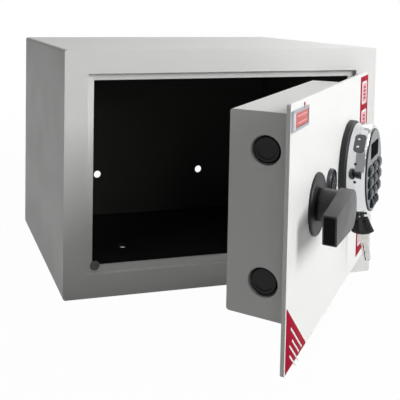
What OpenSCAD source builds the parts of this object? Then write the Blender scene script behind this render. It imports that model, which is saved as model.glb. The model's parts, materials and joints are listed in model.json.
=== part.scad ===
// Small electronic combination safe, door standing open.
// Origin at the centre of the underside, +Y towards the back wall, +Z up.
// Every door piece is drawn with the door shut and then swung open about the hinge pivot.

/* [Body] */
// Outside width of the body
body_w = 350; // [330:1:400]
// Outside height of the body
body_h = 250; // [240:1:300]
// Outside depth of the body
body_d = 250; // [200:1:350]
// Thickness of the body sheet
sheet_t = 2; // [1.5:0.1:2.5]
// Radius of the folded long edges
fold_r = 3; // [2.6:0.1:5]
// Distance between the two holes in the floor
floor_hole_pitch = 150; // [100:1:200]
// Distance between the two holes in the back wall
wall_hole_pitch = 150; // [100:1:200]
// Height of the holes in the back wall above the underside
wall_hole_z = 60; // [40:1:85]
// Diameter of the fixing holes
fixing_hole_d = 10; // [8:0.5:12]
// Thickness of the loose floor mat
mat_t = 2; // [1:0.5:3]

/* [Door opening] */
// Width of the flat border round the opening
border_w = 24; // [23:0.5:28]
// Depth of the recess that the door plate sits in
rebate_d = 5; // [4:0.5:7]
// Width of the step behind the door plate
step_w = 7; // [6:0.5:9]
// Depth of the stiffening lip behind the step
lip_d = 2; // [1:0.5:2.5]
// Diameter of the rubber bumper
bumper_d = 10; // [8:0.5:11]
// Thickness of the rubber bumper
bumper_t = 1.7; // [1:0.1:1.7]

/* [Door] */
// Angle at which the door stands open
door_open = 43.5; // [0:0.5:100]
// Thickness of the door plate
plate_t = 3; // [3:0.1:3.2]
// Gap round the door plate on three sides
edge_gap = 1; // [0.8:0.1:2]
// Gap at the hinged edge of the door plate
hinge_gap = 3; // [2.6:0.1:4]
// Radius of the door plate corners
plate_r = 2; // [1:0.5:4]
// Depth of the lock housing behind the plate
box_d = 45.5; // [44:0.5:55]
// Sheet thickness of the lock housing
box_t = 1.5; // [1:0.1:2]
// Radius of the folded edges of the lock housing
box_r = 2.4; // [2.2:0.1:4]
// Distance from the free edge of the plate to the housing
box_free_inset = 10; // [9:0.5:14]
// Distance from the hinged edge of the plate to the housing
box_hinge_inset = 49; // [46:1:60]
// Distance from the top of the plate to the housing
box_top_inset = 8.5; // [7:0.5:14]
// Distance from the bottom of the plate to the housing
box_bottom_inset = 35; // [25:0.5:38]

/* [Hinge] */
// Distance of the hinge pivot from the side of the body
pivot_side = 11; // [10.7:0.1:11.5]
// Depth of the hinge pivot behind the front face
pivot_depth = 11; // [10.5:0.1:12]
// Diameter of the hinge pins
hinge_pin_d = 8; // [6:0.1:8]
// Height of each swan-neck hinge arm
arm_h = 12; // [10:0.5:16]
// Thickness of the swan-neck bars
arm_t = 5; // [4:0.5:5.5]
// Distance from the ends of the door plate to the middle of each hinge arm
arm_inset = 30; // [25:1:40]

/* [Bolts] */
// Diameter of the locking bolts
bolt_d = 21; // [18:0.5:21]
// Distance from the lower end of the housing to the lower bolt's axis
bolt_low_inset = 27.5; // [26:0.5:31]
// Distance from the upper end of the housing to the upper bolt's axis
bolt_top_inset = 29; // [26:0.5:31]
// Depth of the bolt axis behind the outer face of the door
bolt_depth = 20.5; // [20:0.1:21]
// How far the bolts travel when they lock
bolt_throw = 18; // [16:0.5:18]
// How far the bolt ends sit inside their holes when unlocked
bolt_recess = 2.5; // [1:0.5:4]
// Length of each bolt
bolt_len = 52.5; // [50:0.5:55]

/* [Handle] */
// Distance of the spindle from the free edge of the door plate
handle_x = 82; // [80:0.5:84]
// Height of the spindle above the middle of the door plate
handle_rise = 8; // [7:0.5:12]
// Diameter of the round plate under the handle
rosette_d = 52; // [40:1:54]
// Thickness of the round plate under the handle
rosette_t = 2.5; // [2:0.5:4]
// Diameter of the handle's neck
neck_d = 28; // [22:1:30]
// Length of the neck from the round plate to the lever
neck_len = 15.5; // [10:0.5:20]
// Thickness of the lever
lever_t = 10.5; // [7:0.5:12]
// Length of the lever from the spindle to its tip
lever_len = 57; // [45:1:65]
// Height of the lever's tip
lever_tip_h = 22.5; // [16:0.5:28]
// Radius of the lever's round end
lever_hub_r = 16; // [15:0.5:18]
// Angle by which the lever's tip droops when unlocked
lever_droop = 2.5; // [0:0.5:6]
// Diameter of the spindle
spindle_d = 10; // [8:0.5:10]

/* [Keypad] */
// Distance of the keypad's middle from the free edge of the door plate
keypad_x = 206; // [203:0.5:210]
// Height of the keypad's middle above the middle of the door plate
keypad_rise = 14.5; // [11:0.5:17]
// Diameter of the black base
pad_base_d = 90; // [88:1:96]
// Thickness of the black base
pad_base_t = 6; // [4:0.5:8]
// Diameter of the silver ring where it meets the base
pad_ring_d = 86; // [85.5:0.5:88]
// Diameter of the silver ring at its front
pad_front_d = 85.5; // [85:0.5:86]
// Height of the silver ring
pad_ring_h = 16.5; // [14:0.5:20]
// Thickness of the front face
pad_face_t = 2; // [1.5:0.1:2.5]
// Distance between key rows
key_pitch_z = 11; // [10:0.1:11]
// Width of the widest keys
key_w = 19.5; // [16:0.5:20]
// Height of a key
key_h = 8.8; // [7.5:0.1:8.8]
// Gap between two keys of a row
key_space = 2.6; // [2.2:0.1:3]
// How far a key stands out of the face
key_rise = 2.8; // [2:0.1:3.4]
// How far a key can be pressed
key_travel = 1; // [0.5:0.1:1.5]
// Width of the display window
lcd_w = 40; // [30:1:42]
// Height of the display window
lcd_h = 15; // [10:0.5:15]

/* [Override lock] */
// Distance of the override lock from the free edge of the door plate
override_x = 128; // [127:0.5:131]
// Diameter of the lock's outer rim
override_rim_d = 27; // [22:1:28]
// Thickness of the lock's outer rim
override_rim_t = 3.5; // [2:0.5:4]
// Diameter of the lock barrel
override_barrel_d = 19; // [17:0.5:20]
// Diameter of the turning plug
override_plug_d = 14; // [12:0.5:15]

/* [Hanging key] */
// Distance of the key's pin in front of the door plate
hang_out = 12.5; // [12:0.5:15]
// Angle by which the key leans away from the door
key_lean = 10; // [0:1:12]
// Width of the key's fan-shaped head at its lower edge
fan_w = 21; // [18:0.5:21]
// Width of the fan-shaped head at its upper edge
fan_top_w = 13; // [8:0.5:13]
// Radius of the fan-shaped head about the pin
fan_r = 18.5; // [15:0.5:19]
// Thickness of the fan-shaped head
fan_t = 4; // [3:0.2:4.2]
// Length of the key blade below the head
blade_len = 25.5; // [22:0.5:30]

/* [Power] */
// Diameter of a battery
cell_d = 14.2; // [13.8:0.1:14.4]
// Length of a battery
cell_len = 50; // [49:0.5:50.5]
// How far the battery cover slides
cover_slide = 30; // [20:1:34]

/* [Hidden] */
$fn = 64;

// Clearances
run_fit = 0.05;
free_gap = 0.3;

// Body and opening
open_x0 = border_w;
open_x1 = body_w - border_w;
open_z0 = border_w;
open_z1 = body_h - border_w;
step_back = rebate_d + sheet_t;
lip_back = step_back + lip_d;
inner_r = 1;
mat_inset = 4;
mat_front = 14;

// Hinge
pivot_x = body_w - pivot_side;
pivot_y = pivot_depth;
knuckle_r = 6.5;
arm_bar_x = 1;
arm_bar_y = 23;
arm_leg_x = -26;
arm_foot_w = 9;
arm_foot_t = 3;
bush_flange_t = 0.5;
bush_wall = 1;
ear_t = 3;
ear_gap = bush_flange_t + free_gap;
ear_reach = 8;
bracket_web_t = 1.8;
pin_head_t = 2;
pin_head_d = hinge_pin_d + 4;
clip_t = 1;

// Door plate
plate_x0 = open_x0 + edge_gap;
plate_x1 = open_x1 - hinge_gap;
plate_z0 = open_z0 + edge_gap;
plate_z1 = open_z1 - edge_gap;
plate_mid_z = (plate_z0 + plate_z1) / 2;
arm_zs = [plate_z0 + arm_inset, plate_z1 - arm_inset];

// Lock housing
box_x0 = plate_x0 + box_free_inset;
box_x1 = plate_x1 - box_hinge_inset;
box_z0 = plate_z0 + box_bottom_inset;
box_z1 = plate_z1 - box_top_inset;
box_y1 = plate_t + box_d;
box_in_y = box_y1 - box_t;
post_d = 8;
post_inset = 9.5;
post_xs = [box_x0 + box_t + post_inset, box_x1 - box_t - post_inset];
post_zs = [box_z0 + box_t + post_inset - 1.5, box_z1 - box_t - post_inset + 1.5];
screw_d = 4;
screw_head_d = 7.6;
screw_head_t = 2.4;
screw_len = 10;

// Bolts and carriage
bolt_zs = [box_z0 + bolt_low_inset, box_z1 - bolt_top_inset];
bolt_hole_d = bolt_d + 2;
bolt_x0 = box_x0 + bolt_recess;
bolt_x1 = bolt_x0 + bolt_len;
guide_t = 4;
guide_x = box_x0 + 18;
guide_half = bolt_d / 2 + 4;
carriage_t = 3;
carriage_y1 = 33;
flange_over = 8;
flange_y0 = bolt_depth - flange_over;
bolt_screw_d = 6;
bolt_screw_head = 10;
bolt_screw_head_t = 4;
bolt_screw_len = 12;
bolt_screw_hole = 14;

// Handle and cam
spin_x = plate_x0 + handle_x;
spin_z = plate_mid_z + handle_rise;
cam_half = 30;
cam_r = bolt_throw / (2 * sin(cam_half));
cam_t = 3;
cam_y0 = 22;
cam_pin_d = 6;
cam_hub_d = 18;
cam_pin_x = spin_x + cam_r * sin(cam_half);
cam_pin_z = spin_z + cam_r * cos(cam_half);
slot_w = cam_pin_d + 0.8;
slot_play = 1;
lever_y0 = -(rosette_t + neck_len);
lever_y1 = lever_y0 - lever_t;
bush_out = 1.5;
spindle_y1 = cam_y0 + cam_t + 3;
slot_plate_z0 = cam_pin_z - cam_pin_d / 2 - 4;
slot_plate_z1 = spin_z + cam_r + cam_pin_d / 2 + 5;
slot_plate_x1 = cam_pin_x + slot_w / 2 + 6;

// Solenoid behind the carriage's ramp
plunger_d = 8;
plunger_side = 45;
plunger_x = spin_x + plunger_side;
plunger_y = carriage_y1 - carriage_t / 2;
ramp_rise = 3;
coil_d = 19;
coil_h = 28;
coil_rise = 22;
coil_z0 = box_z0 + coil_rise;
cheek_t = 2;
ramp_gap = 8;
coil_z1 = coil_z0 + coil_h;
solenoid_y1 = plunger_y + coil_d / 2 + 1;
ramp_z = coil_z1 + cheek_t + ramp_gap;
ramp_x1 = plunger_x + plunger_d / 2 + bolt_throw + 2;
plunger_top = ramp_z - plunger_d / 2 / ramp_rise - free_gap;

// Override lock
over_x = plate_x0 + override_x;
over_z = plate_mid_z + keypad_rise;
over_y1 = 24;
tail_t = 2.5;
keyway_w = 2.2;
keyway_h = 8;

// Keypad
pad_x = plate_x0 + keypad_x;
pad_z = plate_mid_z + keypad_rise;
ring_y0 = -pad_base_t;
ring_y1 = ring_y0 - pad_ring_h;
pad_bevel = 1;
rim_w = 4;
face_r = pad_front_d / 2 - rim_w;
seat_r = face_r - 1.2;
seam_w = 0.4;
face_y0 = ring_y1 + 0.8;
face_y1 = face_y0 - pad_face_t;
lcd_z = pad_z + 20;
key_row_z = [for (r = [0 : 3]) pad_z + 3 - r * key_pitch_z];
key_row_w = [key_w, key_w, key_w - 2, key_h + 0.3];
key_flange = 0.4;
board_t = 1.6;
board_y = face_y0 + 4 + board_t;
key_foot_y = board_y - board_t - key_travel - 0.4;
pad_angle = 135;
pad_arc = 28;
pad_band = 11.5;
pad_band_y = -15;
pad_depth = 1;

// Battery compartment in the back of the housing
cells = 4;
tray_wall = 1.5;
tray_end_gap = 32;
tray_low_gap = 12;
cell_end_play = 3;
cell_step = cell_d + 0.4;
cell_front_gap = 2;
cell_cap_d = 5.5;
cell_cap_t = 1;
tray_x1 = box_x1 - tray_end_gap;
tray_x0 = tray_x1 - cell_len - cell_end_play - 2 * tray_wall;
tray_z0 = box_z0 + tray_low_gap;
tray_z1 = tray_z0 + cells * cell_step + 2 * tray_wall;
tray_y0 = box_in_y - cell_d - cell_front_gap - tray_wall;
cover_t = 2;
cover_lap = 4;
rail_w = 3;
rail_t = 1.5;
rail_gap = 0.4;
reset_d = 8;
reset_inset = 24;
reset_x = box_x1 - reset_inset;
reset_z = box_z1 - reset_inset;
reset_rise = 2;
reset_press = 1;
reset_y0 = box_in_y - 2.6;
board_gap = 8;
board_stand = 6;

// Key hanging on a pin between two cheeks under the keypad
hang_z = pad_z - pad_ring_d / 2 - 3.6;
hang_pin_d = 1.6;
hang_r = 3.2;
fan_edge = 1;
cheek_gap = fan_t / 2 + 0.5;
cheek_w = 2;
cheek_root = 5;
blade_t = 2;
blade_w = 7;
shoulder_w = 10;
shoulder_h = 7;

// Places a body piece drawn from the front lower left corner
module in_body() {
    translate([-body_w / 2, -body_d / 2, 0]) children();
}

// Swings a door piece, drawn shut, to the angle at which the door stands
module on_door() {
    in_body()
        translate([pivot_x, pivot_y, 0])
            rotate([0, 0, door_open])
                translate([-pivot_x, -pivot_y, 0]) children();
}

// Block between two corners
module block(a, b) {
    translate(a) cube(b - a);
}

// Round bars along each axis
module rod_x(x0, x1, y, z, d) {
    translate([x0, y, z]) rotate([0, 90, 0]) cylinder(h = x1 - x0, d = d);
}
module rod_y(x, y0, y1, z, d) {
    translate([x, y0, z]) rotate([-90, 0, 0]) cylinder(h = y1 - y0, d = d);
}
module rod_z(x, y, z0, z1, d) {
    translate([x, y, z0]) cylinder(h = z1 - z0, d = d);
}

// Flat rectangle with round corners
module round_rect(x0, y0, x1, y1, r) {
    translate([x0 + r, y0]) square([x1 - x0 - 2 * r, y1 - y0]);
    translate([x0, y0 + r]) square([x1 - x0, y1 - y0 - 2 * r]);
    for (x = [x0 + r, x1 - r], y = [y0 + r, y1 - r]) translate([x, y]) circle(r = r);
}

// Raises a flat shape drawn in X and Z from depth y0 to y1
module raise_y(y0, y1) {
    translate([0, y1, 0]) rotate([90, 0, 0]) linear_extrude(y1 - y0) children();
}

// Raises a flat shape drawn in Y and Z from x0 to x1
module raise_x(x0, x1) {
    translate([x0, 0, 0]) rotate([90, 0, 90]) linear_extrude(x1 - x0) children();
}

// Folded sheet body: four walls and the flat front border
module body_shell() {
    color("white") in_body() difference() {
        raise_y(0, body_d) round_rect(0, 0, body_w, body_h, fold_r);
        raise_y(sheet_t, body_d + 1)
            round_rect(sheet_t, sheet_t, body_w - sheet_t, body_h - sheet_t,
                       fold_r - sheet_t);
        raise_y(-1, sheet_t + 1) translate([open_x0, open_z0])
            square([open_x1 - open_x0, open_z1 - open_z0]);
        for (s = [-1, 1])
            rod_z(body_w / 2 + s * floor_hole_pitch / 2, body_d / 2, -1, sheet_t + 1,
                  fixing_hole_d);
    }
}

// Back wall, welded between the four walls
module back_panel() {
    color("white") in_body() difference() {
        raise_y(body_d - sheet_t, body_d)
            round_rect(sheet_t, sheet_t, body_w - sheet_t, body_h - sheet_t,
                       fold_r - sheet_t);
        for (s = [-1, 1])
            rod_y(body_w / 2 + s * wall_hole_pitch / 2, body_d - sheet_t - 1, body_d + 1,
                  wall_hole_z, fixing_hole_d);
    }
}

// Recess, step and lip that the shut door closes against
module door_frame() {
    color("white") in_body() difference() {
        union() {
            raise_y(sheet_t, step_back)
                translate([open_x0 - sheet_t, open_z0 - sheet_t])
                    square([open_x1 - open_x0 + 2 * sheet_t,
                            open_z1 - open_z0 + 2 * sheet_t]);
            raise_y(step_back, lip_back)
                translate([open_x0 + step_w - sheet_t, open_z0 + step_w - sheet_t])
                    square([open_x1 - open_x0 - 2 * step_w,
                            open_z1 - open_z0 - 2 * step_w + 2 * sheet_t]);
        }
        raise_y(0, rebate_d) translate([open_x0, open_z0])
            square([open_x1 - open_x0, open_z1 - open_z0]);
        raise_y(0, lip_back + 1)
            round_rect(open_x0 + step_w, open_z0 + step_w, open_x1 - step_w,
                       open_z1 - step_w, inner_r);
    }
}

// Loose mat on the floor, with holes over the fixing holes
module floor_mat() {
    color("dimgray") in_body() difference() {
        translate([mat_inset, mat_front, sheet_t])
            cube([body_w - 2 * mat_inset, body_d - sheet_t - mat_front - 2, mat_t]);
        for (s = [-1, 1])
            rod_z(body_w / 2 + s * floor_hole_pitch / 2, body_d / 2, 0,
                  sheet_t + mat_t + 1, fixing_hole_d + 4);
    }
}

// Rubber bumper on the step, in the lower corner of the free side
module frame_bumper() {
    bump_x = open_x0 + step_w + 2.8;
    bump_z = open_z0 + step_w + 0.2;
    color("gray") in_body() rod_y(bump_x, rebate_d - bumper_t, rebate_d, bump_z, bumper_d);
}

// Two U brackets welded inside the hinge side of the body
module hinge_brackets() {
    color("silver") in_body() for (z = arm_zs) {
        ear_in = arm_h / 2 + ear_gap;
        difference() {
            union() {
                for (s = [-1, 1])
                    block([pivot_x - ear_reach, sheet_t, z + s * (ear_in + ear_t / 2) - ear_t / 2],
                          [body_w - sheet_t, pivot_y + ear_reach,
                           z + s * (ear_in + ear_t / 2) + ear_t / 2]);
                block([body_w - sheet_t - bracket_web_t, sheet_t, z - ear_in - ear_t],
                      [body_w - sheet_t, pivot_y + ear_reach, z + ear_in + ear_t]);
            }
            rod_z(pivot_x, pivot_y, z - ear_in - ear_t - 1, z + ear_in + ear_t + 1,
                  hinge_pin_d);
        }
    }
}

// Two headed hinge pins
module hinge_pins() {
    color("silver") in_body() for (z = arm_zs) {
        reach = arm_h / 2 + ear_gap + ear_t;
        rod_z(pivot_x, pivot_y, z - reach - clip_t - 1.5, z + reach, hinge_pin_d);
        rod_z(pivot_x, pivot_y, z + reach, z + reach + pin_head_t, pin_head_d);
    }
}

// Retaining clips under the hinge pins
module hinge_clips() {
    color("dimgray") in_body() for (z = arm_zs) {
        reach = arm_h / 2 + ear_gap + ear_t;
        difference() {
            rod_z(pivot_x, pivot_y, z - reach - clip_t, z - reach, pin_head_d);
            rod_z(pivot_x, pivot_y, z - reach - clip_t - 1, z - reach + 1, hinge_pin_d);
            block([pivot_x - 1.5, pivot_y - pin_head_d, z - reach - clip_t - 1],
                  [pivot_x + 1.5, pivot_y, z - reach + 1]);
        }
    }
}

// Swan-neck arm that carries the plate round the step, bored for its bush
module hinge_arm(z) {
    color("silver") on_door() translate([pivot_x, pivot_y, z - arm_h / 2]) difference() {
        union() {
            cylinder(r = knuckle_r, h = arm_h);
            block([arm_bar_x, 0, 0], [arm_bar_x + arm_t, arm_bar_y + arm_t, arm_h]);
            block([arm_leg_x - arm_t, arm_bar_y, 0], [arm_bar_x + arm_t, arm_bar_y + arm_t, arm_h]);
            block([arm_leg_x - arm_t, plate_t - pivot_y, 0],
                  [arm_leg_x, arm_bar_y + arm_t, arm_h]);
            block([arm_leg_x - arm_t - arm_foot_w, plate_t - pivot_y, 0],
                  [arm_leg_x, plate_t - pivot_y + arm_foot_t, arm_h]);
        }
        translate([0, 0, -1]) cylinder(d = hinge_pin_d + 2 * (run_fit + bush_wall), h = arm_h + 2);
    }
}
module hinge_arm_upper() { hinge_arm(arm_zs[1]); }
module hinge_arm_lower() { hinge_arm(arm_zs[0]); }

// Flanged bushes between the pins and the arms
module hinge_bushes() {
    color("goldenrod") on_door() for (z = arm_zs) difference() {
        union() {
            rod_z(pivot_x, pivot_y, z - arm_h / 2, z + arm_h / 2,
                  hinge_pin_d + 2 * (run_fit + bush_wall));
            for (s = [-1, 1])
                translate([pivot_x, pivot_y, z + s * (arm_h + bush_flange_t) / 2])
                    cylinder(d = hinge_pin_d + 4, h = bush_flange_t, center = true);
        }
        rod_z(pivot_x, pivot_y, z - arm_h, z + arm_h, hinge_pin_d + 2 * run_fit);
    }
}

// Flat door plate with its holes
module door_plate() {
    color("white") on_door() difference() {
        raise_y(0, plate_t) round_rect(plate_x0, plate_z0, plate_x1, plate_z1, plate_r);
        rod_y(spin_x, -1, plate_t + 1, spin_z, spindle_d + 2 * (run_fit + bush_out));
        rod_y(over_x, -1, plate_t + 1, over_z, override_barrel_d);
        rod_y(pad_x, -1, plate_t + 1, pad_z, 12);
    }
}

// Lock housing: a tray of folded sheet screwed on behind the plate
module door_box() {
    color("white") on_door() {
        difference() {
            raise_x(box_x0, box_x1) box_profile(0);
            raise_x(box_x0 + box_t, box_x1 - box_t) box_profile(box_t);
            for (z = bolt_zs) rod_x(box_x0 - 1, box_x0 + box_t + 1, bolt_depth, z, bolt_hole_d);
            for (x = post_xs, z = post_zs)
                rod_y(x, box_in_y - 1, box_y1 + 1, z, screw_d + 0.6);
            block([tray_x0 + tray_wall, box_in_y - 1, tray_z0 + tray_wall],
                  [tray_x1 - tray_wall, box_y1 + 1, tray_z1 - tray_wall]);
            rod_y(reset_x, box_in_y - 1, box_y1 + 1, reset_z, reset_d + 2 * free_gap);
        }
        for (side = [0, 1]) cover_rail(side);
    }
}

// Section of the housing in Y and Z, shrunk by a wall thickness
module box_profile(t) {
    translate([plate_t, box_z0 + t]) square([box_d - box_r, box_z1 - box_z0 - 2 * t]);
    round_rect(plate_t + box_r, box_z0 + t, box_y1 - t, box_z1 - t, box_r - t);
}

// Rail that holds one side of the sliding battery cover
module cover_rail(side) {
    edge = side == 0 ? tray_x0 - cover_lap : tray_x1 + cover_lap;
    out = side == 0 ? -1 : 1;
    rail_y = box_y1 + free_gap + cover_t + free_gap;
    lo = min(edge + out * rail_gap, edge + out * (rail_gap + rail_w));
    hi = max(edge + out * rail_gap, edge + out * (rail_gap + rail_w));
    lip = min(edge - out * 2, edge + out * (rail_gap + rail_w));
    lip_end = max(edge - out * 2, edge + out * (rail_gap + rail_w));
    block([lo, box_y1 - 0.01, tray_z0 - cover_lap], [hi, rail_y + rail_t, tray_z1 + cover_lap]);
    block([lip, rail_y, tray_z0 - cover_lap], [lip_end, rail_y + rail_t, tray_z1 + cover_lap]);
}

// Four posts between the plate and the housing's back
module box_posts() {
    color("silver") on_door() for (x = post_xs, z = post_zs) difference() {
        rod_y(x, plate_t, box_in_y, z, post_d);
        rod_y(x, box_in_y - screw_len - 1, box_in_y + 1, z, screw_d + 2 * run_fit);
    }
}

// Four screws that hold the housing to its posts
module box_screws() {
    color("silver") on_door() for (x = post_xs, z = post_zs) difference() {
        union() {
            rod_y(x, box_in_y - screw_len + box_t, box_y1, z, screw_d);
            rod_y(x, box_y1, box_y1 + screw_head_t, z, screw_head_d);
        }
        for (turn = [0, 90])
            translate([x, box_y1 + screw_head_t, z]) rotate([0, turn, 0])
                cube([4.6, 2.4, 0.9], center = true);
    }
}

// Two bored guides for the bolts, welded to the plate
module bolt_guides() {
    color("silver") on_door() for (z = bolt_zs) difference() {
        union() {
            block([guide_x, plate_t, z - guide_half],
                  [guide_x + guide_t, bolt_depth + guide_half, z + guide_half]);
            block([guide_x, plate_t, z - guide_half],
                  [guide_x + 14, plate_t + 2, z + guide_half]);
        }
        rod_x(guide_x - 1, guide_x + 20, bolt_depth, z, bolt_d + 2 * run_fit);
    }
}

// One round locking bolt with a broken front edge
module bolt(z) {
    edge = 1;
    color("black") on_door() difference() {
        union() {
            translate([bolt_x0, bolt_depth, z]) rotate([0, 90, 0])
                cylinder(h = edge, d1 = bolt_d - 2 * edge, d2 = bolt_d);
            rod_x(bolt_x0 + edge, bolt_x1, bolt_depth, z, bolt_d);
        }
        rod_x(bolt_x1 - bolt_screw_hole, bolt_x1 + 1, bolt_depth, z,
              bolt_screw_d + 2 * run_fit);
    }
}
module bolt_upper() { bolt(bolt_zs[1]); }
module bolt_lower() { bolt(bolt_zs[0]); }

// Carriage that moves both bolts, with the cam slot and the plunger's ramp
module bolt_carriage() {
    color("silver") on_door() difference() {
        union() {
            block([bolt_x1, flange_y0, bolt_zs[0] - flange_over],
                  [bolt_x1 + carriage_t, carriage_y1, bolt_zs[1] + flange_over]);
            raise_y(carriage_y1 - carriage_t, carriage_y1) union() {
                translate([bolt_x1, slot_plate_z0])
                    square([ramp_x1 - bolt_x1, slot_plate_z1 - slot_plate_z0]);
                polygon([[cam_pin_x + 4, slot_plate_z0 + 1],
                         [cam_pin_x + 4, ramp_z - (plunger_x - cam_pin_x - 4) / ramp_rise],
                         [ramp_x1, ramp_z + (ramp_x1 - plunger_x) / ramp_rise],
                         [ramp_x1, slot_plate_z0 + 1]]);
            }
        }
        for (z = bolt_zs)
            rod_x(bolt_x1 - 1, bolt_x1 + carriage_t + 1, bolt_depth, z, bolt_screw_d + 0.4);
        raise_y(0, carriage_y1 + 1) cam_slot();
    }
}

// Upright slot that the cam pin slides in
module cam_slot() {
    low = cam_pin_z - slot_play;
    high = spin_z + cam_r + slot_play;
    translate([cam_pin_x - slot_w / 2, low]) square([slot_w, high - low]);
    for (z = [low, high]) translate([cam_pin_x, z]) circle(d = slot_w);
}

// Screws that fasten the bolts to the carriage
module bolt_screws() {
    color("silver") on_door() for (z = bolt_zs) {
        rod_x(bolt_x1 - bolt_screw_len, bolt_x1 + carriage_t, bolt_depth, z, bolt_screw_d);
        translate([bolt_x1 + carriage_t, bolt_depth, z]) rotate([0, 90, 0])
            cylinder(h = bolt_screw_head_t, d = bolt_screw_head, $fn = 6);
    }
}

// Round plate under the handle
module handle_rosette() {
    color([0.16, 0.16, 0.17]) on_door() difference() {
        union() {
            rod_y(spin_x, -rosette_t + 1, 0, spin_z, rosette_d);
            translate([spin_x, -rosette_t, spin_z]) rotate([-90, 0, 0])
                cylinder(h = 1, d1 = rosette_d - 2, d2 = rosette_d);
        }
        rod_y(spin_x, -rosette_t - 1, 1, spin_z, spindle_d + 2 * (run_fit + bush_out));
    }
}

// Bush that the spindle turns in, through the plate
module spindle_bush() {
    color("goldenrod") on_door() difference() {
        union() {
            rod_y(spin_x, -rosette_t, plate_t, spin_z, spindle_d + 2 * (run_fit + bush_out));
            rod_y(spin_x, plate_t, plate_t + 2, spin_z, spindle_d + 8);
        }
        rod_y(spin_x, -rosette_t - 1, plate_t + 3, spin_z, spindle_d + 2 * run_fit);
    }
}

// Lever knob: round neck and a tapered lever towards the free edge
module handle_knob() {
    color([0.22, 0.22, 0.23]) on_door() difference() {
        union() {
            rod_y(spin_x, lever_y0 - 1, -rosette_t - free_gap, spin_z, neck_d);
            translate([spin_x, 0, spin_z]) rotate([0, -lever_droop, 0])
                raise_y(lever_y1, lever_y0) lever_outline();
        }
        rod_y(spin_x, lever_y0 + 2, 1, spin_z, spindle_d + 2 * run_fit);
    }
}

// Outline of the lever: straight sides that meet the round end as tangents
module lever_outline() {
    half = lever_tip_h / 2;
    reach = sqrt(lever_len * lever_len + half * half);
    touch = atan2(half, -lever_len) - acos(lever_hub_r / reach);
    tx = lever_hub_r * cos(touch);
    ty = lever_hub_r * sin(touch);
    circle(r = lever_hub_r);
    polygon([[-lever_len, half], [tx, ty], [tx, -ty], [-lever_len, -half]]);
}

// Spindle from the knob through the plate to the cam
module handle_spindle() {
    color("silver") on_door() rod_y(spin_x, lever_y0 + 2, spindle_y1, spin_z, spindle_d);
}

// Cam on the spindle with the pin that drives the carriage
module cam_arm() {
    color("silver") on_door() {
        difference() {
            union() {
                rod_y(spin_x, cam_y0, cam_y0 + cam_t, spin_z, cam_hub_d);
                translate([spin_x, cam_y0, spin_z]) rotate([0, cam_half, 0])
                    translate([-cam_pin_d / 2 - 2, 0, 0]) cube([cam_pin_d + 4, cam_t, cam_r]);
                rod_y(cam_pin_x, cam_y0, cam_y0 + cam_t, cam_pin_z, cam_pin_d + 4);
            }
            rod_y(spin_x, cam_y0 - 1, cam_y0 + cam_t + 1, spin_z, spindle_d);
        }
        rod_y(cam_pin_x, cam_y0, carriage_y1 + 2, cam_pin_z, cam_pin_d);
    }
}

// Clip that keeps the cam on the spindle
module spindle_clip() {
    clip_y0 = cam_y0 + cam_t;
    color("dimgray") on_door() difference() {
        rod_y(spin_x, clip_y0, clip_y0 + clip_t, spin_z, spindle_d + 5);
        rod_y(spin_x, clip_y0 - 1, clip_y0 + clip_t + 1, spin_z, spindle_d);
    }
}

// Steel frame of the solenoid, welded to the plate
module solenoid_frame() {
    half = coil_d / 2 + 1.5;
    color("silver") on_door() difference() {
        union() {
            for (z = [coil_z0 - cheek_t, coil_z1])
                block([plunger_x - half, plate_t, z], [plunger_x + half, solenoid_y1, z + cheek_t]);
            block([plunger_x - half, plate_t, coil_z0 - cheek_t],
                  [plunger_x + half, plate_t + cheek_t, coil_z1 + cheek_t]);
        }
        rod_z(plunger_x, plunger_y, coil_z1 - 1, coil_z1 + cheek_t + 1, plunger_d + 2 * run_fit);
    }
}

// Coil of the solenoid, hollow for its plunger
module solenoid_coil() {
    color("sienna") on_door() difference() {
        rod_z(plunger_x, plunger_y, coil_z0, coil_z1, coil_d);
        rod_z(plunger_x, plunger_y, coil_z0 + 6, coil_z1 + 1, plunger_d + 2 * run_fit);
    }
}

// Plunger that follows the carriage's ramp
module solenoid_plunger() {
    color("gray") on_door() rod_z(plunger_x, plunger_y, coil_z0 + 8, plunger_top, plunger_d);
}

// Barrel of the override lock with its outer rim
module override_barrel() {
    color("gray") on_door() difference() {
        union() {
            rod_y(over_x, -override_rim_t, 0, over_z, override_rim_d);
            rod_y(over_x, 0, over_y1, over_z, override_barrel_d);
            rod_y(over_x, plate_t, plate_t + 4, over_z, override_barrel_d + 6);
        }
        rod_y(over_x, -override_rim_t - 1, over_y1 + 1, over_z, override_plug_d + 2 * run_fit);
    }
}

// Turning plug of the override lock with its key slot
module override_plug() {
    color("black") on_door() difference() {
        rod_y(over_x, -override_rim_t - 0.3, over_y1 + 0.5, over_z, override_plug_d);
        block([over_x - keyway_w / 2, -override_rim_t - 1, over_z - keyway_h / 2],
              [over_x + keyway_w / 2, over_y1 - 6, over_z + keyway_h / 2]);
    }
}

// Lever on the back of the plug
module override_tail() {
    color("silver") on_door() {
        rod_y(over_x, over_y1 + 0.5, over_y1 + 0.5 + tail_t, over_z, 12);
        block([over_x - 4, over_y1 + 0.5, over_z], [over_x + 4, over_y1 + 0.5 + tail_t, over_z + 15]);
    }
}

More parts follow.
